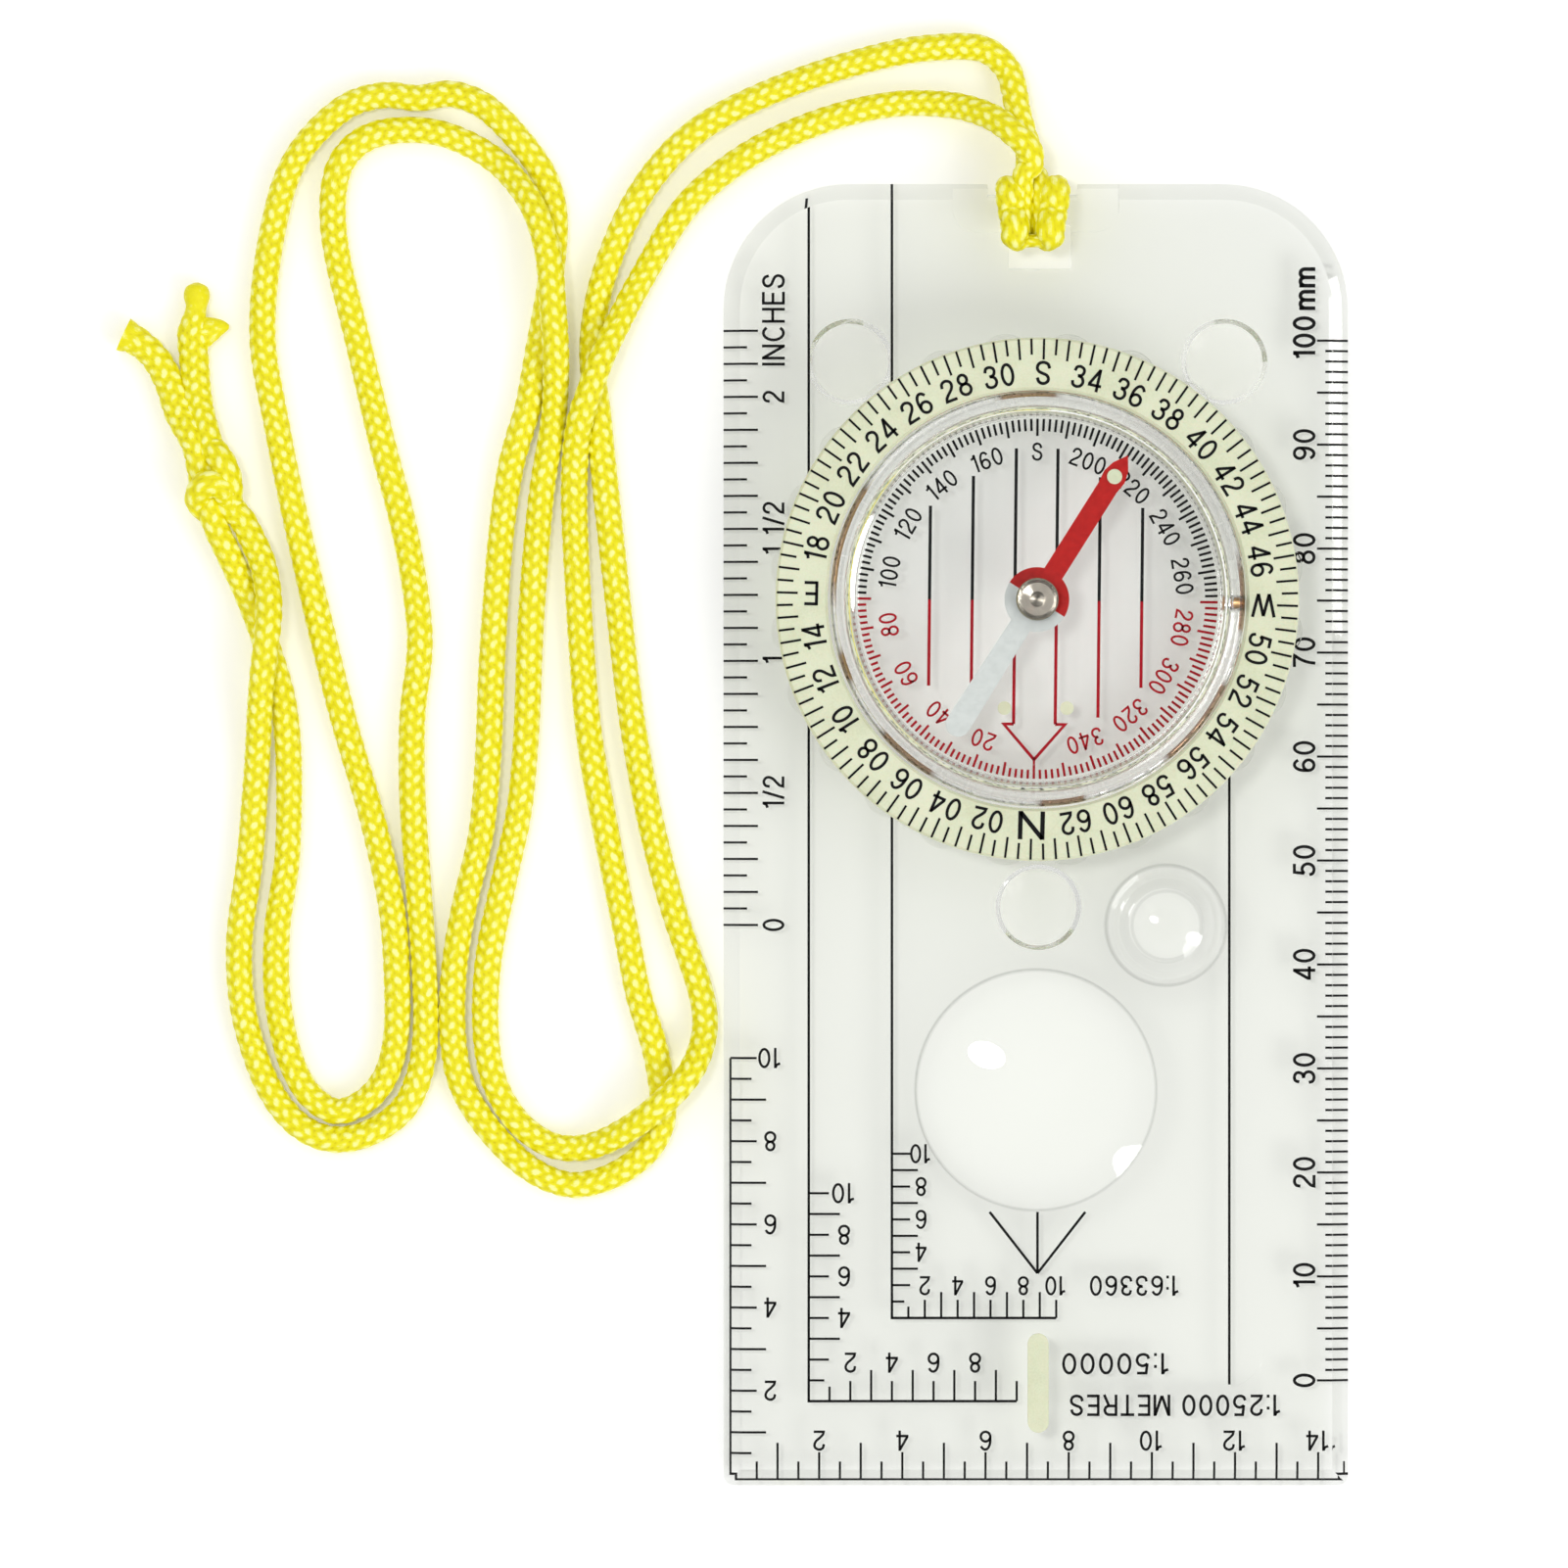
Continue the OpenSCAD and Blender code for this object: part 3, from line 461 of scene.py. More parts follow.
class Print:
    """Thin raised ink on one flat face. Everything is laid out in millimetres."""

    def __init__(self, z):
        self.z = z
        self.points, self.faces = [], []

    def stroke(self, line, width):
        """A ribbon of ink along a line of points, closed when it ends where it starts."""
        p = np.array(line, float)
        loop = np.hypot(*(p[0] - p[-1])) < 1e-6
        if loop:
            p = p[:-1]
        n = len(p)
        before = p - (np.roll(p, 1, 0) if loop else np.vstack([2 * p[0] - p[1], p[:-1]]))
        after = (np.roll(p, -1, 0) if loop else np.vstack([p[1:], 2 * p[-1] - p[-2]])) - p
        before /= np.hypot(*before.T)[:, None]
        after /= np.hypot(*after.T)[:, None]
        along = before + after
        along /= np.maximum(np.hypot(*along.T)[:, None], 1e-9)
        across = np.stack([-along[:, 1], along[:, 0]], 1)
        mitre = np.maximum((along * before).sum(1), 0.5)[:, None]
        offset = across * width / 2 / mitre
        base = len(self.points)
        for side, z in ((1, 0), (-1, 0), (1, PRINT_T), (-1, PRINT_T)):
            self.points += [(x, y, self.z + z) for x, y in p + side * offset]
        left, right, left_top, right_top = (base + n * i for i in range(4))
        for i in range(n if loop else n - 1):
            j = (i + 1) % n
            self.faces += [(left + i, left + j, right + j, right + i),
                           (left_top + i, right_top + i, right_top + j, left_top + j),
                           (left + i, left_top + i, left_top + j, left + j),
                           (right + i, right + j, right_top + j, right_top + i)]
        if not loop:
            e = n - 1
            self.faces += [(left, right, right_top, left_top),
                           (left + e, left_top + e, right_top + e, right + e)]

    def text(self, words, at, height, turn, weight=1.0, narrow=1.0):
        """Words centred at a point and turned by degrees. weight thickens the strokes, and
        narrow scales the width."""
        run = sum(GLYPHS[c][0] + LETTER_GAP for c in words) - LETTER_GAP
        c, s = math.cos(math.radians(turn)), math.sin(math.radians(turn))
        x = -run / 2
        for letter in words:
            width, strokes = GLYPHS[letter]
            for line in strokes:
                placed = []
                for px, py in line:
                    u, v = (x + px) * height * narrow, (py - 0.5) * height
                    placed.append((at[0] + u * c - v * s, at[1] + u * s + v * c))
                self.stroke(placed, STROKE * height * weight)
            x += width + LETTER_GAP

    def radial_tick(self, angle, outer, length, width):
        """A tick that points to the pivot from its outer end."""
        self.stroke([around(outer, angle), around(outer - length, angle)], width)

    def piece(self, name, body, finish):
        """Turns the ink into a piece that rides on a body."""
        mesh = bpy.data.meshes.new(name)
        mesh.from_pydata([Vector(p) * MM for p in self.points], [], self.faces)
        mesh.materials.append(MATERIALS[finish])
        mesh.update()
        made = bpy.data.objects.new(name, mesh)
        bpy.context.scene.collection.objects.link(made)
        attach(made, body)


RING_LIES_AT = -91.5      # direction of N on the ring, in degrees from +X
DIAL_LIES_AT = -90.6      # direction of the orienting arrow
BOLD, LINE, FINE = 0.31, 0.25, 0.22   # widths of the printed lines
RING_TICK, DIAL_TICK = 0.21, 0.24     # widths of the ticks on the ring and on the dial
INCH = 25.4

# The inner corners of the map scales 1:25000, 1:50000 and 1:63360, and how long 100 metres
# is on each
BIG, MID, SMALL = (-28.8, -84.0), (-21.8, -77.0), (-13.8, -69.0)
BIG_UNIT, MID_UNIT, SMALL_UNIT = 4, 2, 1.58
LEFT_LINE_X, MIDDLE_LINE_X, RIGHT_LINE_X = MID[0], SMALL[0], 18.65
HOLE_R = 20.7                         # the long lines stop at the capsule's hole


def edge_scale(ink, x_edge, inward, zero_y, step, count, lengths):
    """Ruler ticks along a straight edge. lengths gives the tick's length for its number."""
    for i in range(count + 1):
        y = zero_y + i * step
        ink.stroke([(x_edge, y), (x_edge + inward * lengths(i), y)], FINE)


def map_scale(ink, corner, unit, halves, columns, rows, upright, level):
    """L-shaped map scale: ticks point up from the level line and right from the upright line.
    upright and level give the tick's length for its position in units."""
    x0, y0 = corner
    share = 2 if halves else 1
    for i in range(1, rows * share + 1):
        y = y0 + i * unit / share
        ink.stroke([(x0, y), (x0 + upright(i / share), y)], FINE)
    for i in range(1, int(columns * share) + 1):
        x = x0 + i * unit / share
        ink.stroke([(x, y0), (x, y0 + level(i / share))], FINE)


def print_rulers(ink):
    """Millimetres on the right edge and inches on the left edge."""
    margin = 0.12
    edge, middle = PLATE_HIGH.x - margin, PLATE_HIGH.x - 4.15
    zero = PLATE_LOW.y + 10
    edge_scale(ink, edge, -1, zero, 1, 100, lambda i: 2.8 if i % 5 == 0 else 2.0)
    for i in range(10):
        ink.text(str(i * 10), (middle, zero + i * 10), 2.15, 90, 1.1)
    ink.text("100", (middle, zero + 100.2), 2.15, 90, 1.25)
    ink.text("mm", (middle, zero + 105), 2.15, 90, 1.35)
    edge, middle = PLATE_LOW.x + margin, PLATE_LOW.x + 4.8
    zero = PLATE_LOW.y + 53.8
    edge_scale(ink, edge, 1, zero, INCH / 16, 36, lambda i: 3.2 if i % 2 == 0 else 2.15)
    for words, inches in (("0", 0), ("1/2", 0.5), ("1", 1), ("1 1/2", 1.5), ("2", 2)):
        ink.text(words, (middle, zero + inches * INCH), 2.1, 90, 1.0, 0.92)
    ink.text("INCHES", (middle, zero + 2 * INCH + 7.4), 2.2, 90, 1.0, 0.98)


def print_map_scales(ink):
    """Three map scales nested in the lower left corner."""
    def lengths(even, odd, half):
        return lambda n: half if n % 1 else (even if n % 2 == 0 else odd)

    def from_first(even, odd, first):
        return lambda n: first if n == 1 else (even if n % 2 == 0 else odd)

    map_scale(ink, BIG, BIG_UNIT, True, 14.5, 10, lengths(2.0, 2.9, 1.5),
              lengths(2.1, 3.0, 1.2))
    map_scale(ink, MID, MID_UNIT, False, 10, 10, from_first(1.94, 3.0, 1.5),
              from_first(1.94, 3.0, 1.4))
    map_scale(ink, SMALL, SMALL_UNIT, False, 10, 10, from_first(1.75, 2.5, 1.2),
              from_first(1.75, 2.5, 1.1))
    ink.stroke([(BIG[0], BIG[1] - LINE / 2), (BIG[0], BIG[1] + 10 * BIG_UNIT)], LINE)
    ink.stroke([BIG, (PLATE_HIGH.x - 0.3, BIG[1])], LINE)
    ink.stroke([MID, (MID[0] + 10 * MID_UNIT, MID[1])], LINE)
    ink.stroke([SMALL, (SMALL[0] + 10 * SMALL_UNIT, SMALL[1])], LINE)
    for n in range(2, 15, 2):
        ink.text(str(n), (BIG[0] + BIG_UNIT * n, BIG[1] + 3.2), 1.95, 180)
        if n <= 10:
            ink.text(str(n), (BIG[0] + 3.3, BIG[1] + BIG_UNIT * n), 1.95, 180)
    for n in (2, 4, 6, 8):
        ink.text(str(n), (MID[0] + MID_UNIT * n, MID[1] + 3.7), 1.95, 180)
    for n in (4, 6, 8, 10):
        ink.text(str(n), (MID[0] + 3.4, MID[1] + MID_UNIT * n), 1.95, 180)
        ink.text(str(n), (SMALL[0] + 2.8, SMALL[1] + SMALL_UNIT * n), 1.85, 180, 1.0, 0.95)
    for n in (2, 4, 6, 8, 10):
        ink.text(str(n), (SMALL[0] + SMALL_UNIT * n, SMALL[1] + 3.1), 1.85, 180, 1.0, 0.95)
    ink.text("1:63360", (9.6, -65.9), 1.95, 180, 1.0, 0.98)
    ink.text("1:50000", (7.8, -73.4), 2.05, 180, 1.05, 1.12)
    ink.text("1:25000 METRES", (13.55, -77.4), 2.05, 180, 1.05, 1.03)


def print_lines(ink):
    """Long parallel lines and the direction arrow."""
    def hole_y(x):
        return math.sqrt(HOLE_R ** 2 - x ** 2)

    left, middle, right = LEFT_LINE_X, MIDDLE_LINE_X, RIGHT_LINE_X
    ink.stroke([(left, 38.2), (left, MID[1] - LINE / 2)], LINE)
    ink.stroke([(middle, 39.8), (middle, hole_y(middle))], LINE)
    ink.stroke([(middle, -hole_y(middle)), (middle, SMALL[1] - LINE / 2)], LINE)
    ink.stroke([(right, -hole_y(right)), (right, -75.4)], LINE)
    apex = (0.2, -64.7)
    for side in (-4.6, 0, 4.6):
        ink.stroke([(apex[0] + side, apex[1] + 5.9), apex], LINE)


def print_plate():
    """All of the plate's printing, as one piece."""
    ink = Print(PLATE_PRINT_Z)
    print_rulers(ink)
    print_map_scales(ink)
    print_lines(ink)
    ink.piece("plate_print", "plate", "black_ink")


def print_ring():
    """6400 mils round the luminous ring, clockwise from N at the bottom."""
    ink = Print(RING_PRINT_Z)
    outer, numbers_r = RING_HIGH.x - 0.12, 21.6
    for i in range(128):
        length = 2.0 if i % 2 == 0 else 1.54
        ink.radial_tick(RING_LIES_AT - i * 360 / 128, outer, length, RING_TICK)
    points = {8: "E", 16: "S", 24: "W"}
    for i in range(32):
        angle = RING_LIES_AT - i * 360 / 32
        at = around(numbers_r, angle)
        if i == 0:
            ink.text("N", at, 2.7, RING_LIES_AT - 90, 1.25, 1.45)
        elif i in points:
            ink.text(points[i], at, 2.3, RING_LIES_AT - 90, 1.0, 1.0)
        else:
            ink.text(f"{i * 2:02d}", at, 2.2, angle - 90, 1.0, 0.96)
    ink.piece("ring_print", "bezel", "black_ink")


def print_capsule():
    """Degree dial, meridian lines and orienting arrow: black above the middle and red below."""
    black, red = Print(DIAL_PRINT_Z), Print(DIAL_PRINT_Z)
    outer, numbers_r = 17.5, 14.3
    turn = math.radians(DIAL_LIES_AT + 90)

    def turned(*line):
        return [(x * math.cos(turn) - y * math.sin(turn), x * math.sin(turn) + y * math.cos(turn))
                for x, y in line]

    for degree in range(0, 360, 2):
        ink = red if degree <= 90 or degree >= 270 else black
        length = 1.7 if degree % 10 == 0 else 1.22
        ink.radial_tick(DIAL_LIES_AT - degree, outer, length, DIAL_TICK)
    for degree in range(20, 360, 20):
        angle = DIAL_LIES_AT - degree
        ink = red if degree <= 90 or degree >= 270 else black
        words = "S" if degree == 180 else str(degree)
        ink.text(words, around(numbers_r, angle), 1.75, angle - 90, 1.0, 0.92)
    shaft, barb, barb_y, tip_y = 2.0, 2.95, -11.9, -15.3
    for x, top, bottom in ((shaft, 14.6, barb_y), (6.1, 11.9, -11.2), (10.2, 9.0, -8.3)):
        for side in (-1, 1):
            black.stroke(turned((side * x, top), (side * x, 0)), BOLD)
            red.stroke(turned((side * x, 0), (side * x, bottom)), BOLD)
    for side in (-1, 1):
        red.stroke(turned((side * shaft, barb_y), (side * barb, barb_y), (0, tip_y)), BOLD)
    red.stroke(turned((0, tip_y + 0.1), (0, tip_y - 0.48)), FINE)
    black.piece("dial_print_black", "bezel", "black_ink")
    red.piece("dial_print_red", "bezel", "red_ink")


# ---- Braided cord ------------------------------------------------------------------------

STEP = 0.225          # spacing of the cord's cross-sections
SIDES = 48            # points round a cross-section
COLUMNS = 8           # columns of yarn floats round the cord
COURSE = 1.37         # length of a float
LEAN = 0.45           # how far the floats lean, in columns for each course
RELIEF = 0.20         # depth of the gaps between floats, as a share of the radius
SLACK_W, SLACK_H = 1.31, 1.18   # half width and half height of the slack cord
KNOT_W, KNOT_H = 1.38, 1.24     # the same in the knot
TIGHT_R = 0.86        # radius of the cord where the hitch pulls it tight
HINGE_ROOM = 3.4      # the loose runs start this far past the hitch's hinge


def centrelines(node):
    """[x, y, z] of each cross-section of a node's swept cords, one array for each cord.
    A flat end is found as faces with only flat and square edges, and rings are walked from it."""
    bm = bmesh.new()
    bm.from_mesh(frame["nodes"][node].data)
    bmesh.ops.remove_doubles(bm, verts=bm.verts, dist=1e-7)
    flat, square = math.radians(2), math.radians(70)
    end_faces = [f for f in bm.faces
                 if all(e.calc_face_angle(1) < flat or e.calc_face_angle(1) > square
                        for e in f.edges)]
    waiting = {v for f in end_faces for v in f.verts}
    lines = []
    while waiting:
        seed = min(waiting, key=lambda v: v.index)
        ring, grew = {seed}, True
        while grew:
            more = {v for f in end_faces if ring & set(f.verts) for v in f.verts}
            grew = not more <= ring
            ring |= more
        seen, line = set(), []
        while ring:
            centre = sum((v.co for v in ring), Vector()) / len(ring)
            line.append(centre / MM)
            seen |= ring
            ring = {e.other_vert(v) for v in ring for e in v.link_edges} - seen
        waiting -= seen
        lines.append(np.array(line))
    bm.free()
    return lines


def spline(points, step):
    """Smooth curve through rows of numbers, with even steps along its first three columns.
    Returns the rows and the arc length at each of the given points."""
    p = np.array(points, float)
    gap = np.linalg.norm(np.diff(p[:, :3], axis=0), axis=1)
    slope = np.diff(p, axis=0) / gap[:, None]
    both = (gap[:-1] + gap[1:])[:, None]
    inner = (slope[:-1] * gap[1:, None] + slope[1:] * gap[:-1, None]) / both
    slope_at = np.vstack([slope[0], inner, slope[-1]])
    fine, owner = [], []
    for i in range(len(gap)):
        n = max(2, int(math.ceil(gap[i] / (step / 3))))
        t = (np.arange(n) / n)[:, None]
        h = gap[i]
        leave = (2 * t ** 3 - 3 * t ** 2 + 1) * p[i] + (t ** 3 - 2 * t ** 2 + t) * h * slope_at[i]
        fine.append(leave + (3 * t ** 2 - 2 * t ** 3) * p[i + 1]
                    + (t ** 3 - t ** 2) * h * slope_at[i + 1])
        owner.append(sum(len(f) for f in fine[:-1]))
    owner.append(sum(len(f) for f in fine))
    fine = np.vstack(fine + [p[-1:]])
    arc_at = np.concatenate([[0], np.cumsum(np.linalg.norm(np.diff(fine[:, :3], axis=0), axis=1))])
    count = int(round(arc_at[-1] / step))
    even = np.linspace(0, arc_at[-1], count + 1)
    rows = np.stack([np.interp(even, arc_at, fine[:, k]) for k in range(fine.shape[1])], 1)
    return rows, arc_at[owner]


def stitches(u, v):
    """Height of the braided surface, 0 in the gaps and 1 on the crests. Floats lie in columns
    like bricks, and neighbouring columns lean opposite ways. u counts columns round the cord
    and v counts courses along it."""
    column, course = np.floor(u), np.floor(v)
    best = np.zeros(np.broadcast(u, v).shape)
    for col in (-1, 0, 1):
        parity = (column + col) % 2
        for row in (-1, 0, 1):
            t = v - course - row - 0.5 * parity
            x = u - column - col - 0.5 - LEAN * (2 * parity - 1) * t
            bump = np.clip(1 - (x / 0.66) ** 2 - (t / 0.60) ** 2, 0, 1)
            best = np.maximum(best, np.sqrt(bump))
    return best


def carried_frames(centres):
    """Heading at every centre, and two side directions carried along without twisting."""
    heading = np.gradient(centres, axis=0)
    heading /= np.linalg.norm(heading, axis=1)[:, None]
    side = np.zeros_like(heading)
    start = np.cross([0, 0, 1.0], heading[0])
    side[0] = start / np.linalg.norm(start)
    for i in range(1, len(heading)):
        s = side[i - 1] - heading[i] * (side[i - 1] @ heading[i])
        side[i] = s / np.linalg.norm(s)
    return heading, side, np.cross(heading, side)


class Cord:
    """One braided cord as a grid of points, cut into pieces that share their end rings.
    Each row of the path is [x, y, z, half width, half height, knit, hitched]: knit fades the
    stitches out at 0, and hitched 1 measures the width along X instead of level with the table."""

    def __init__(self, path, phase=0.0):
        self.rows, self.marks = spline(path, STEP)
        centres = self.rows[:, :3]
        half_w, half_h, knit, hitched = self.rows[:, 3:].T
        heading, side, up = carried_frames(centres)
        length = np.arange(len(centres)) * STEP
        twist = 0.55 * np.sin(length / 31 + phase) + 0.4 * np.sin(length / 11.3 + 2 * phase)
        angle = np.linspace(0, 2 * np.pi, SIDES, endpoint=False)[None, :] + twist[:, None]
        out = (np.cos(angle)[..., None] * side[:, None] + np.sin(angle)[..., None] * up[:, None])
        level = np.cross([0, 0, 1.0], heading)
        level /= np.maximum(np.linalg.norm(level, axis=1), 1e-6)[:, None]
        level *= np.where(level[:, :1] < 0, -1, 1)
        wide = level * (1 - hitched[:, None]) + np.array([1.0, 0, 0]) * hitched[:, None]
        wide /= np.linalg.norm(wide, axis=1)[:, None]
        share = np.clip((out * wide[:, None]).sum(2) ** 2, 0, 1)
        radius = 1 / np.sqrt(share / half_w[:, None] ** 2 + (1 - share) / half_h[:, None] ** 2)
        u = np.linspace(0, COLUMNS, SIDES, endpoint=False)[None, :]
        v = (length / COURSE + phase)[:, None]
        self.height = stitches(u, v) * knit[:, None] + 0.75 * (1 - knit[:, None])
        swell = 1 + 0.02 * np.sin(length / 5.1 + phase)[:, None]
        radius = radius * swell * (1 - RELIEF * (1 - self.height))
        self.points = centres[:, None] + out * radius[..., None]

    def index_at(self, mark):
        """Number of the cross-section nearest to the path's point with this number."""
        return int(round(self.marks[mark] / self.marks[-1] * (len(self.rows) - 1)))

    def patch(self, first, last):
        """Points, faces, heights and lay of the stretch between two cross-sections."""
        grid = self.points[first:last + 1]
        n = len(grid)
        i, k = np.meshgrid(np.arange(n - 1), np.arange(SIDES), indexing="ij")
        nxt = (k + 1) % SIDES
        quads = np.stack([i * SIDES + k, i * SIDES + nxt, (i + 1) * SIDES + nxt,
                          (i + 1) * SIDES + k], -1).reshape(-1, 4)
        lay_u = np.stack([k, k + 1, k + 1, k], -1).reshape(-1) / SIDES * COLUMNS
        lay_v = np.stack([i, i, i + 1, i + 1], -1).reshape(-1) * STEP / COURSE
        return (grid.reshape(-1, 3), quads, self.height[first:last + 1].reshape(-1),
                np.stack([lay_u, lay_v + first * STEP / COURSE], 1))


def cord_piece(name, patches, body, *nodes, shape=None):
    """One mesh from patches of cord, each closed with flat ends. It rides on a body and stands
    in for the named CAD nodes. shape moves its points first."""
    points, quads, height, lay, base, ends = [], [], [], [], 0, []
    for p, q, h, uv in patches:
        points.append(p)
        quads.append(q + base)
        height.append(h)
        lay.append(uv)
        n = len(p)
        ends += [[base + k for k in range(SIDES - 1, -1, -1)],
                 [base + n - SIDES + k for k in range(SIDES)]]
        base += n
    points = np.vstack(points)
    if shape:
        points = shape(points)
    quads, height, lay = np.vstack(quads), np.concatenate(height), np.vstack(lay)
    mesh = bpy.data.meshes.new(name)
    faces = [tuple(q) for q in quads[:, ::-1].tolist()] + [tuple(e[::-1]) for e in ends]
    mesh.from_pydata((points * MM).tolist(), [], faces)
    mesh.attributes.new("stitch", "FLOAT", "POINT").data.foreach_set(
        "value", height.astype(np.float32))
    layer = mesh.uv_layers.new(name="lay")
    uv = np.zeros((len(mesh.loops), 2), np.float32)
    uv[:len(lay)] = lay.reshape(-1, 4, 2)[:, ::-1].reshape(-1, 2)
    layer.data.foreach_set("uv", uv.ravel())
    mesh.polygons.foreach_set("use_smooth", [True] * len(quads) + [False] * len(ends))
    end_of = np.full(len(points), -1)
    for number, end in enumerate(ends):
        end_of[end] = number
    pairs = np.zeros(len(mesh.edges) * 2, int)
    mesh.edges.foreach_get("vertices", pairs)
    a, b = end_of[pairs.reshape(-1, 2)].T
    mesh.edges.foreach_set("use_edge_sharp", (a == b) & (a >= 0))
    mesh.materials.append(MATERIALS["cord_yellow"])
    mesh.update()
    made = bpy.data.objects.new(name, mesh)
    bpy.context.scene.collection.objects.link(made)
    if body:
        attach(made, body)
    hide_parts(*nodes)
    return made


def slack(points):
    """Path rows for slack cord through the points."""
    return [[*p, SLACK_W, SLACK_H, 1, 0] for p in points]


def smooth(value, start, stop):
    """0 before start and 1 after stop, with a soft rise between them."""
    t = min(1.0, max(0.0, (value - start) / (stop - start)))
    return t * t * (3 - 2 * t)


def hitch_rows(points):
    """Path rows for the hitch. Over the bar its outer strands swell into two lobes that close
    over the standing strands and draw together towards the slot, and the bend that joins them
    is thin and sunk between them."""
    rows = []
    for x, y, z in points:
        reach, side = abs(x - HITCH_X), math.copysign(1, x - HITCH_X)
        # How much of each part of the hitch the cord is at this point
        raised = smooth(z, BAR_Z - 0.6, BAR_Z + 1.2)
        lobe = smooth(reach, 1.3, 2.2) * raised
        bend = smooth(-reach, -1.9, -0.3) * smooth(z, 5.7, 6.1)
        front = smooth(-y, -BAR_IN_Y, 1.6 - BAR_IN_Y) * raised
        standing = smooth(-reach, -1.5, -1.1) * raised * (1 - bend)
        # The lobes lie wider apart towards the plate's end
        wider = smooth(y, BAR_IN_Y - 1.5, BAR_OUT_Y + 0.5)
        spread = 1.62 + 0.52 * wider
        half_w = TIGHT_R + (0.56 + 0.10 * wider) * lobe - 0.30 * bend + 0.16 * standing
        half_h = TIGHT_R + 0.30 * lobe - 0.22 * bend
        x = HITCH_X + side * (reach + (spread - reach) * lobe)
        z += 0.32 * lobe - 1.0 * front - 0.25 * bend
        y += 0.85 * bend - 0.6 * front
        leaving = smooth(y, HITCH_HIGH.y - 2.0, HITCH_HIGH.y - 0.4) * smooth(-reach, -1.6, -1.2)
        rows.append([x, y, z, half_w + 0.28 * leaving, half_h + 0.24 * leaving, 1, 1])
    return rows


def clear_of_bar(points):
    """Pushes cord points out of the rounded lanyard bar, as the squeezed cord would lie."""
    r = BAR_ROUND + 0.03
    y = np.clip(points[:, 1], BAR_IN_Y + BAR_ROUND, BAR_OUT_Y - BAR_ROUND)
    away = points[:, 1:] - np.stack([y, np.full(len(y), BAR_Z)], 1)
    gap = np.linalg.norm(away, axis=1)
    inside = gap < r
    points[inside, 1:] += (away[inside] / np.maximum(gap[inside], 1e-6)[:, None]
                           * (r - gap[inside])[:, None])
    return points


# The two strands inside the knot, from the free end to the loose run. Places are measured
# from the middle of the knot, and heights from the table.
LOOPING_STRAND = [(-0.3, 4.0, 2.6), (0.6, 2.9, 3.2), (1.3, 1.6, 3.5), (1.6, 0.0, 3.2),
                  (1.0, -1.6, 2.2), (-0.3, -2.3, 1.45), (-1.35, -1.5, 2.1), (-1.2, -0.3, 3.4),
                  (-0.2, 0.35, 3.95), (0.9, 0.1, 3.6), (1.4, -0.9, 2.7), (1.7, -1.9, 2.4)]
STRAIGHT_STRAND = [(-1.6, 3.6, 2.5), (-1.35, 2.3, 2.5), (-1.1, 0.8, 2.3), (-0.6, -1.0, 2.2),
                   (-0.2, -2.3, 2.3)]

# The free ends: a cut one that spreads, and a melted one that ends in a bead and has a flap
# of loose yarn at its side. Each row is [x, y, z, half width, half height, knit].
CUT_END = [(-8.75, 14.8, 1.45, 1.7, 1.25, 0.55), (-7.9, 14.4, 1.40, 1.5, 1.25, 0.8),
           (-6.0, 12.9, 1.3, 1.4, 1.22, 1), (-4.5, 10.5, 1.25, 1.45, 1.2, 1),
           (-3.4, 7.3, 1.7, 1.45, 1.2, 1)]
MELTED_END = [(-1.7, 19.8, 1.25, 0.25, 0.25, 0), (-1.7, 19.55, 1.25, 0.85, 0.85, 0),
              (-1.7, 19.0, 1.3, 1.25, 1.22, 0), (-1.7, 18.3, 1.3, 1.3, 1.24, 0),
              (-1.75, 17.5, 1.25, 1.05, 1.05, 0.1), (-1.85, 16.8, 1.25, 1.1, 1.05, 0.5),
              (-2.1, 15.2, 1.25, 1.45, 1.2, 1), (-2.0, 12.8, 1.25, 1.45, 1.2, 1),
              (-1.25, 7.3, 1.8, 1.35, 1.2, 1), (-0.6, 5.2, 2.4, 1.30, 1.2, 1)]
SIDE_FLAP = [(-2.4, 14.7, 1.2, 1.3, 0.9, 1), (-1.3, 15.0, 1.2, 1.6, 1.0, 1),
             (-0.3, 15.3, 1.15, 1.3, 0.85, 0.7), (0.5, 15.5, 1.1, 0.85, 0.65, 0.4),
             (1.1, 15.55, 1.1, 0.5, 0.45, 0.1), (1.4, 15.55, 1.1, 0.2, 0.2, 0)]


def near_knot(rows):
    """Path rows, from rows that are measured from the middle of the knot."""
    return [[KNOT_AT.x + r[0], KNOT_AT.y + r[1], *r[2:], 0] for r in rows]


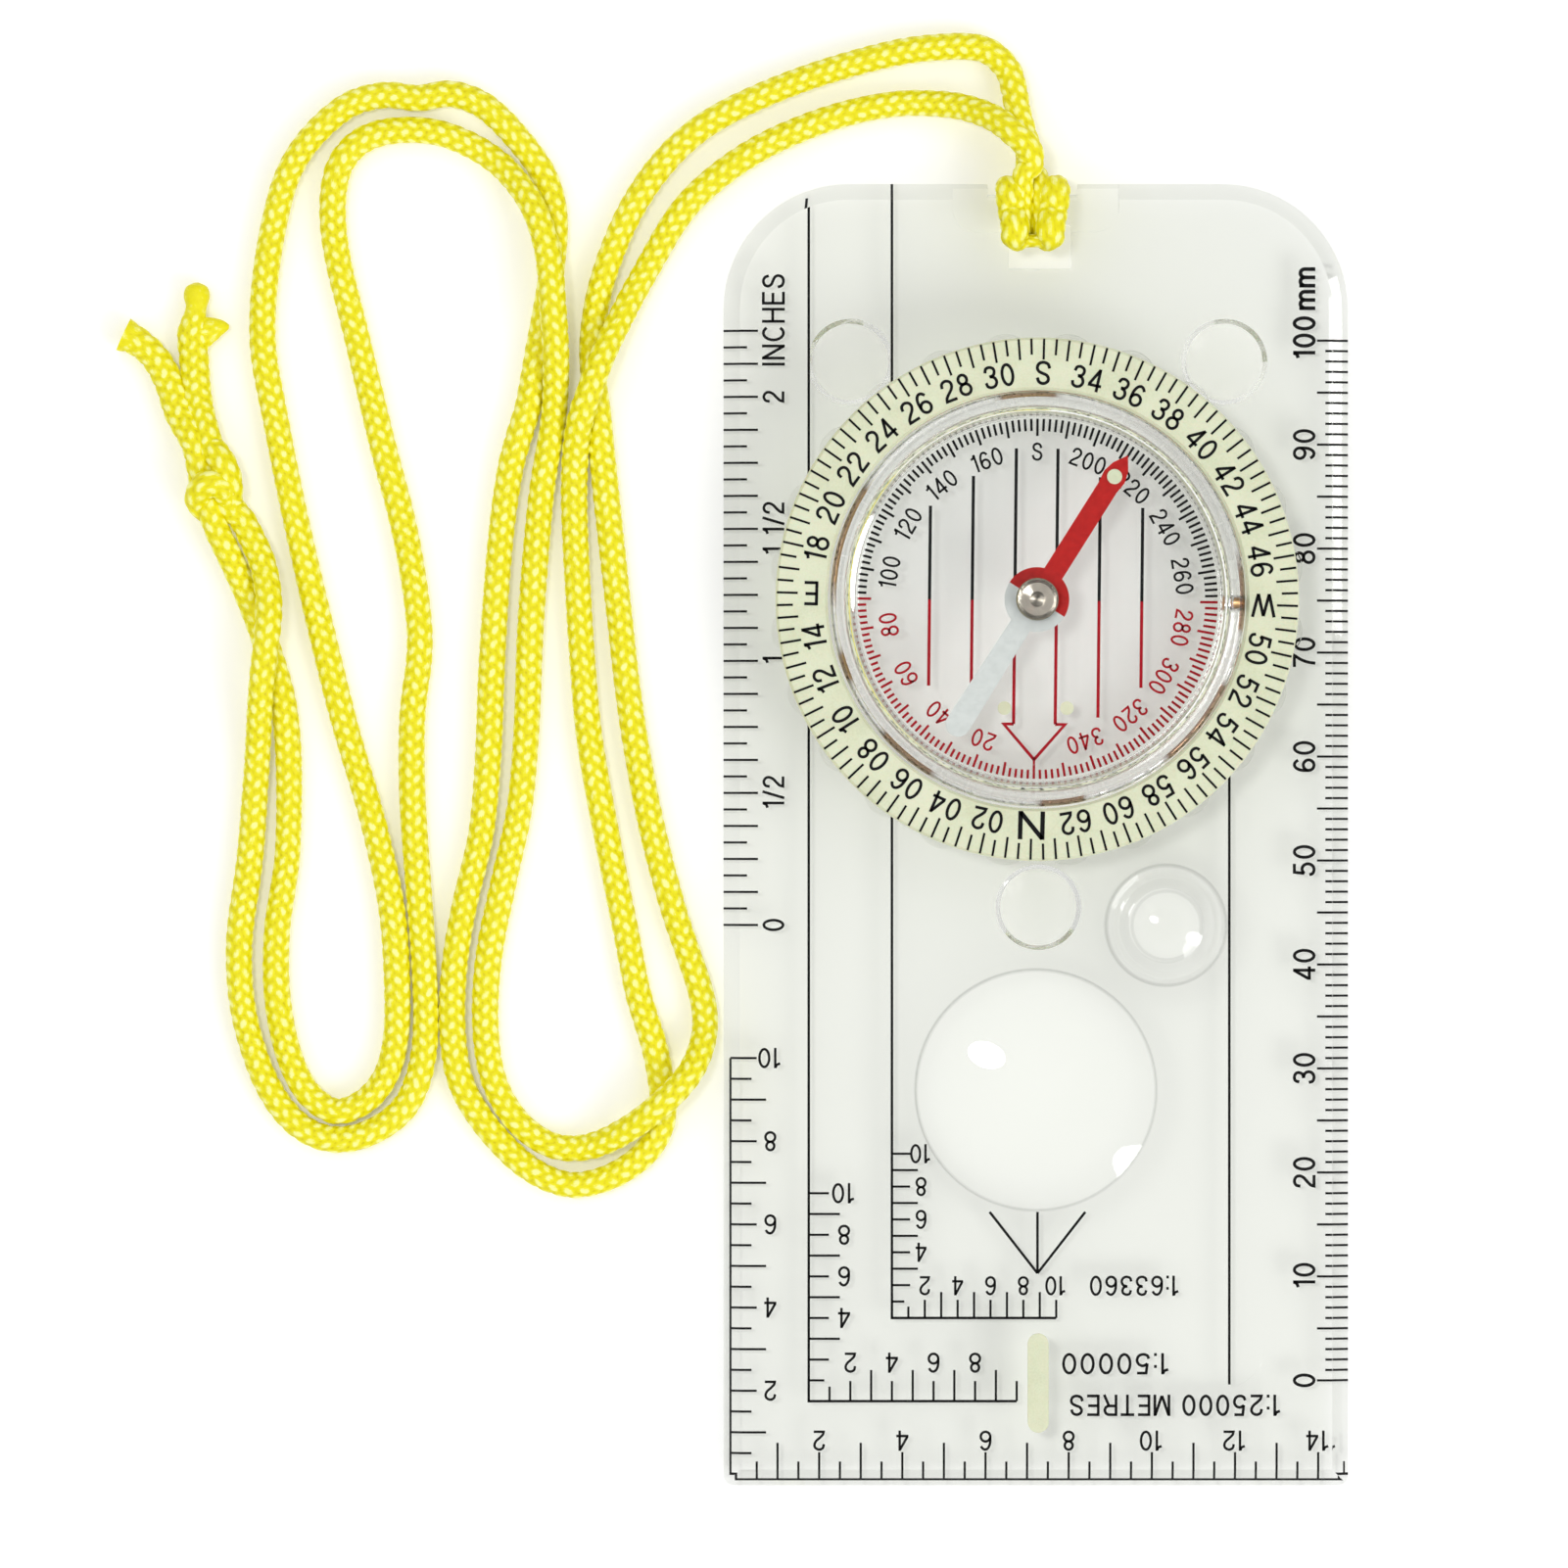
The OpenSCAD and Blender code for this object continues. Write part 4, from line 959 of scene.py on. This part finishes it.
def build_cord():
    """The whole cord as one path: melted end, knot, first run, hitch, second run, knot and
    cut end. It is cut where the CAD nodes meet."""
    hitch = centrelines("lanyard_hitch")[0]
    if hitch[0][2] > hitch[-1][2]:
        hitch = hitch[::-1]
    runs = []
    for line in centrelines("lanyard_cord"):
        runs.append(line if line[0][1] > line[-1][1] else line[::-1])
    runs.sort(key=lambda line: line[0][2])
    first, second = (slack(run) for run in runs)
    melted, cut = near_knot(MELTED_END), near_knot(CUT_END)
    looping = near_knot([(*p, KNOT_W, KNOT_H, 1) for p in LOOPING_STRAND])
    straight = near_knot([(*p, KNOT_W, KNOT_H, 1) for p in STRAIGHT_STRAND])
    parts = [melted, looping, first[::-1], hitch_rows(hitch), second, straight[::-1], cut[::-1]]
    cord = Cord([row for part in parts for row in part])
    starts = np.cumsum([0] + [len(part) for part in parts])

    def free_of_hinge(run):
        return next(i for i, row in enumerate(run) if row[1] > SWING_Y + HINGE_ROOM)

    first_cut = cord.index_at(starts[3] - 1 - free_of_hinge(first))
    second_cut = cord.index_at(starts[4] + free_of_hinge(second))
    melted_cut, cut_cut = cord.index_at(starts[1]), cord.index_at(starts[6] - 1)
    first_end, second_end = cord.index_at(starts[2]), cord.index_at(starts[5] - 1)
    last = len(cord.rows) - 1
    flap = Cord(near_knot(SIDE_FLAP), 0.4)
    cord_piece("lanyard_ends_braid", [
        cord.patch(0, melted_cut), cord.patch(cut_cut, last),
        flap.patch(0, len(flap.rows) - 1)], "lanyard", "lanyard_ends")
    cord_piece("lanyard_knot_braid", [
        cord.patch(melted_cut, first_end), cord.patch(second_end, cut_cut)],
        "lanyard", "lanyard_knot")
    cord_piece("lanyard_first_run", [cord.patch(first_end, first_cut)], "lanyard", "lanyard_cord")
    cord_piece("lanyard_second_run", [cord.patch(second_cut, second_end)], "lanyard",
               "lanyard_cord")
    tied = cord_piece("lanyard_hitch_braid", [cord.patch(first_cut, second_cut)], None,
                      "lanyard_hitch", shape=clear_of_bar)
    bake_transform(tied)


# ---- Stage -------------------------------------------------------------------------------

def build_floor():
    """A pale table just under the feet, so that the two never share a face."""
    f = Finish("floor")
    grain = f.noise(60, 2)
    f.finish(Base_Color=f.ramp(grain, (0.3, 0.93), (0.7, 0.95)), Roughness=0.9,
             Specular_IOR_Level=0.1, Emission_Color=(1, 1, 1, 1), Emission_Strength=0.14)
    mesh = bpy.data.meshes.new("floor")
    reach, z = 2.5, -0.06 * MM
    square = ((-reach, -reach, z), (reach, -reach, z), (reach, reach, z), (-reach, reach, z))
    mesh.from_pydata(square, [], [(0, 1, 2, 3)])
    mesh.materials.append(f.material)
    floor = bpy.data.objects.new("floor", mesh)
    bpy.context.scene.collection.objects.link(floor)


# Light of the tent for the height of a direction: 0 is level or below and 1 straight up
TENT_LIGHT = ((0.0, 0.30), (0.30, 0.62), (0.55, 1.18), (0.88, 1.18), (0.97, 0.06))


def build_world():
    """A bright tent, with a darker gap overhead where the camera looks in."""
    world = bpy.data.worlds.new("tent")
    bpy.context.scene.world = world
    world.use_nodes = True
    nodes, links = world.node_tree.nodes, world.node_tree.links
    coord = nodes.new("ShaderNodeTexCoord")
    split = nodes.new("ShaderNodeSeparateXYZ")
    ramp = nodes.new("ShaderNodeValToRGB")
    while len(ramp.color_ramp.elements) < len(TENT_LIGHT):
        ramp.color_ramp.elements.new(0.5)
    for element, (height, light) in zip(ramp.color_ramp.elements, TENT_LIGHT):
        element.position = height
        element.color = (light, light, light * 1.01, 1)
    links.new(coord.outputs["Generated"], split.inputs[0])
    links.new(split.outputs[2], ramp.inputs[0])
    links.new(ramp.outputs[0], nodes["Background"].inputs["Color"])
    nodes["Background"].inputs["Strength"].default_value = 0.78


def soft_light(name, at, size, energy):
    """An oval soft lamp that points at the origin."""
    data = bpy.data.lights.new(name, "AREA")
    data.shape = "ELLIPSE"
    data.size, data.size_y = size
    data.energy = energy
    lamp = bpy.data.objects.new(name, data)
    bpy.context.scene.collection.objects.link(lamp)
    lamp.location = at
    lamp.rotation_mode = "QUATERNION"
    lamp.rotation_quaternion = (-Vector(at)).to_track_quat("-Z", "Y")


def build_camera():
    """Straight down over the plate and the cord, from 0.7 m above the printed faces."""
    view_width, above, printed_z = 150.6 * MM, 0.70, 4 * MM
    data = bpy.data.cameras.new("camera")
    data.sensor_width = 36
    data.lens = data.sensor_width * above / view_width
    camera = bpy.data.objects.new("camera", data)
    bpy.context.scene.collection.objects.link(camera)
    camera.location = (-24.18 * MM, -17.64 * MM, above + printed_z)
    bpy.context.scene.camera = camera


def set_light_paths():
    """Light has to pass several clear walls, and colours are shown as they are."""
    scene = bpy.context.scene
    scene.cycles.max_bounces = 24
    scene.cycles.glossy_bounces = 24
    scene.cycles.transmission_bounces = 24
    scene.cycles.transparent_max_bounces = 32
    scene.cycles.caustics_refractive = False
    scene.cycles.caustics_reflective = False
    scene.view_settings.view_transform = "Standard"


dress_cad_nodes()
print_plate()
print_ring()
print_capsule()
build_cord()
build_floor()
build_world()
soft_light("key_light", (-0.17, 0.06, 0.75), (0.10, 0.15), 1.2)
soft_light("fill_light", (0.55, -0.45, 0.60), (0.5, 0.4), 2.4)
build_camera()
set_light_paths()
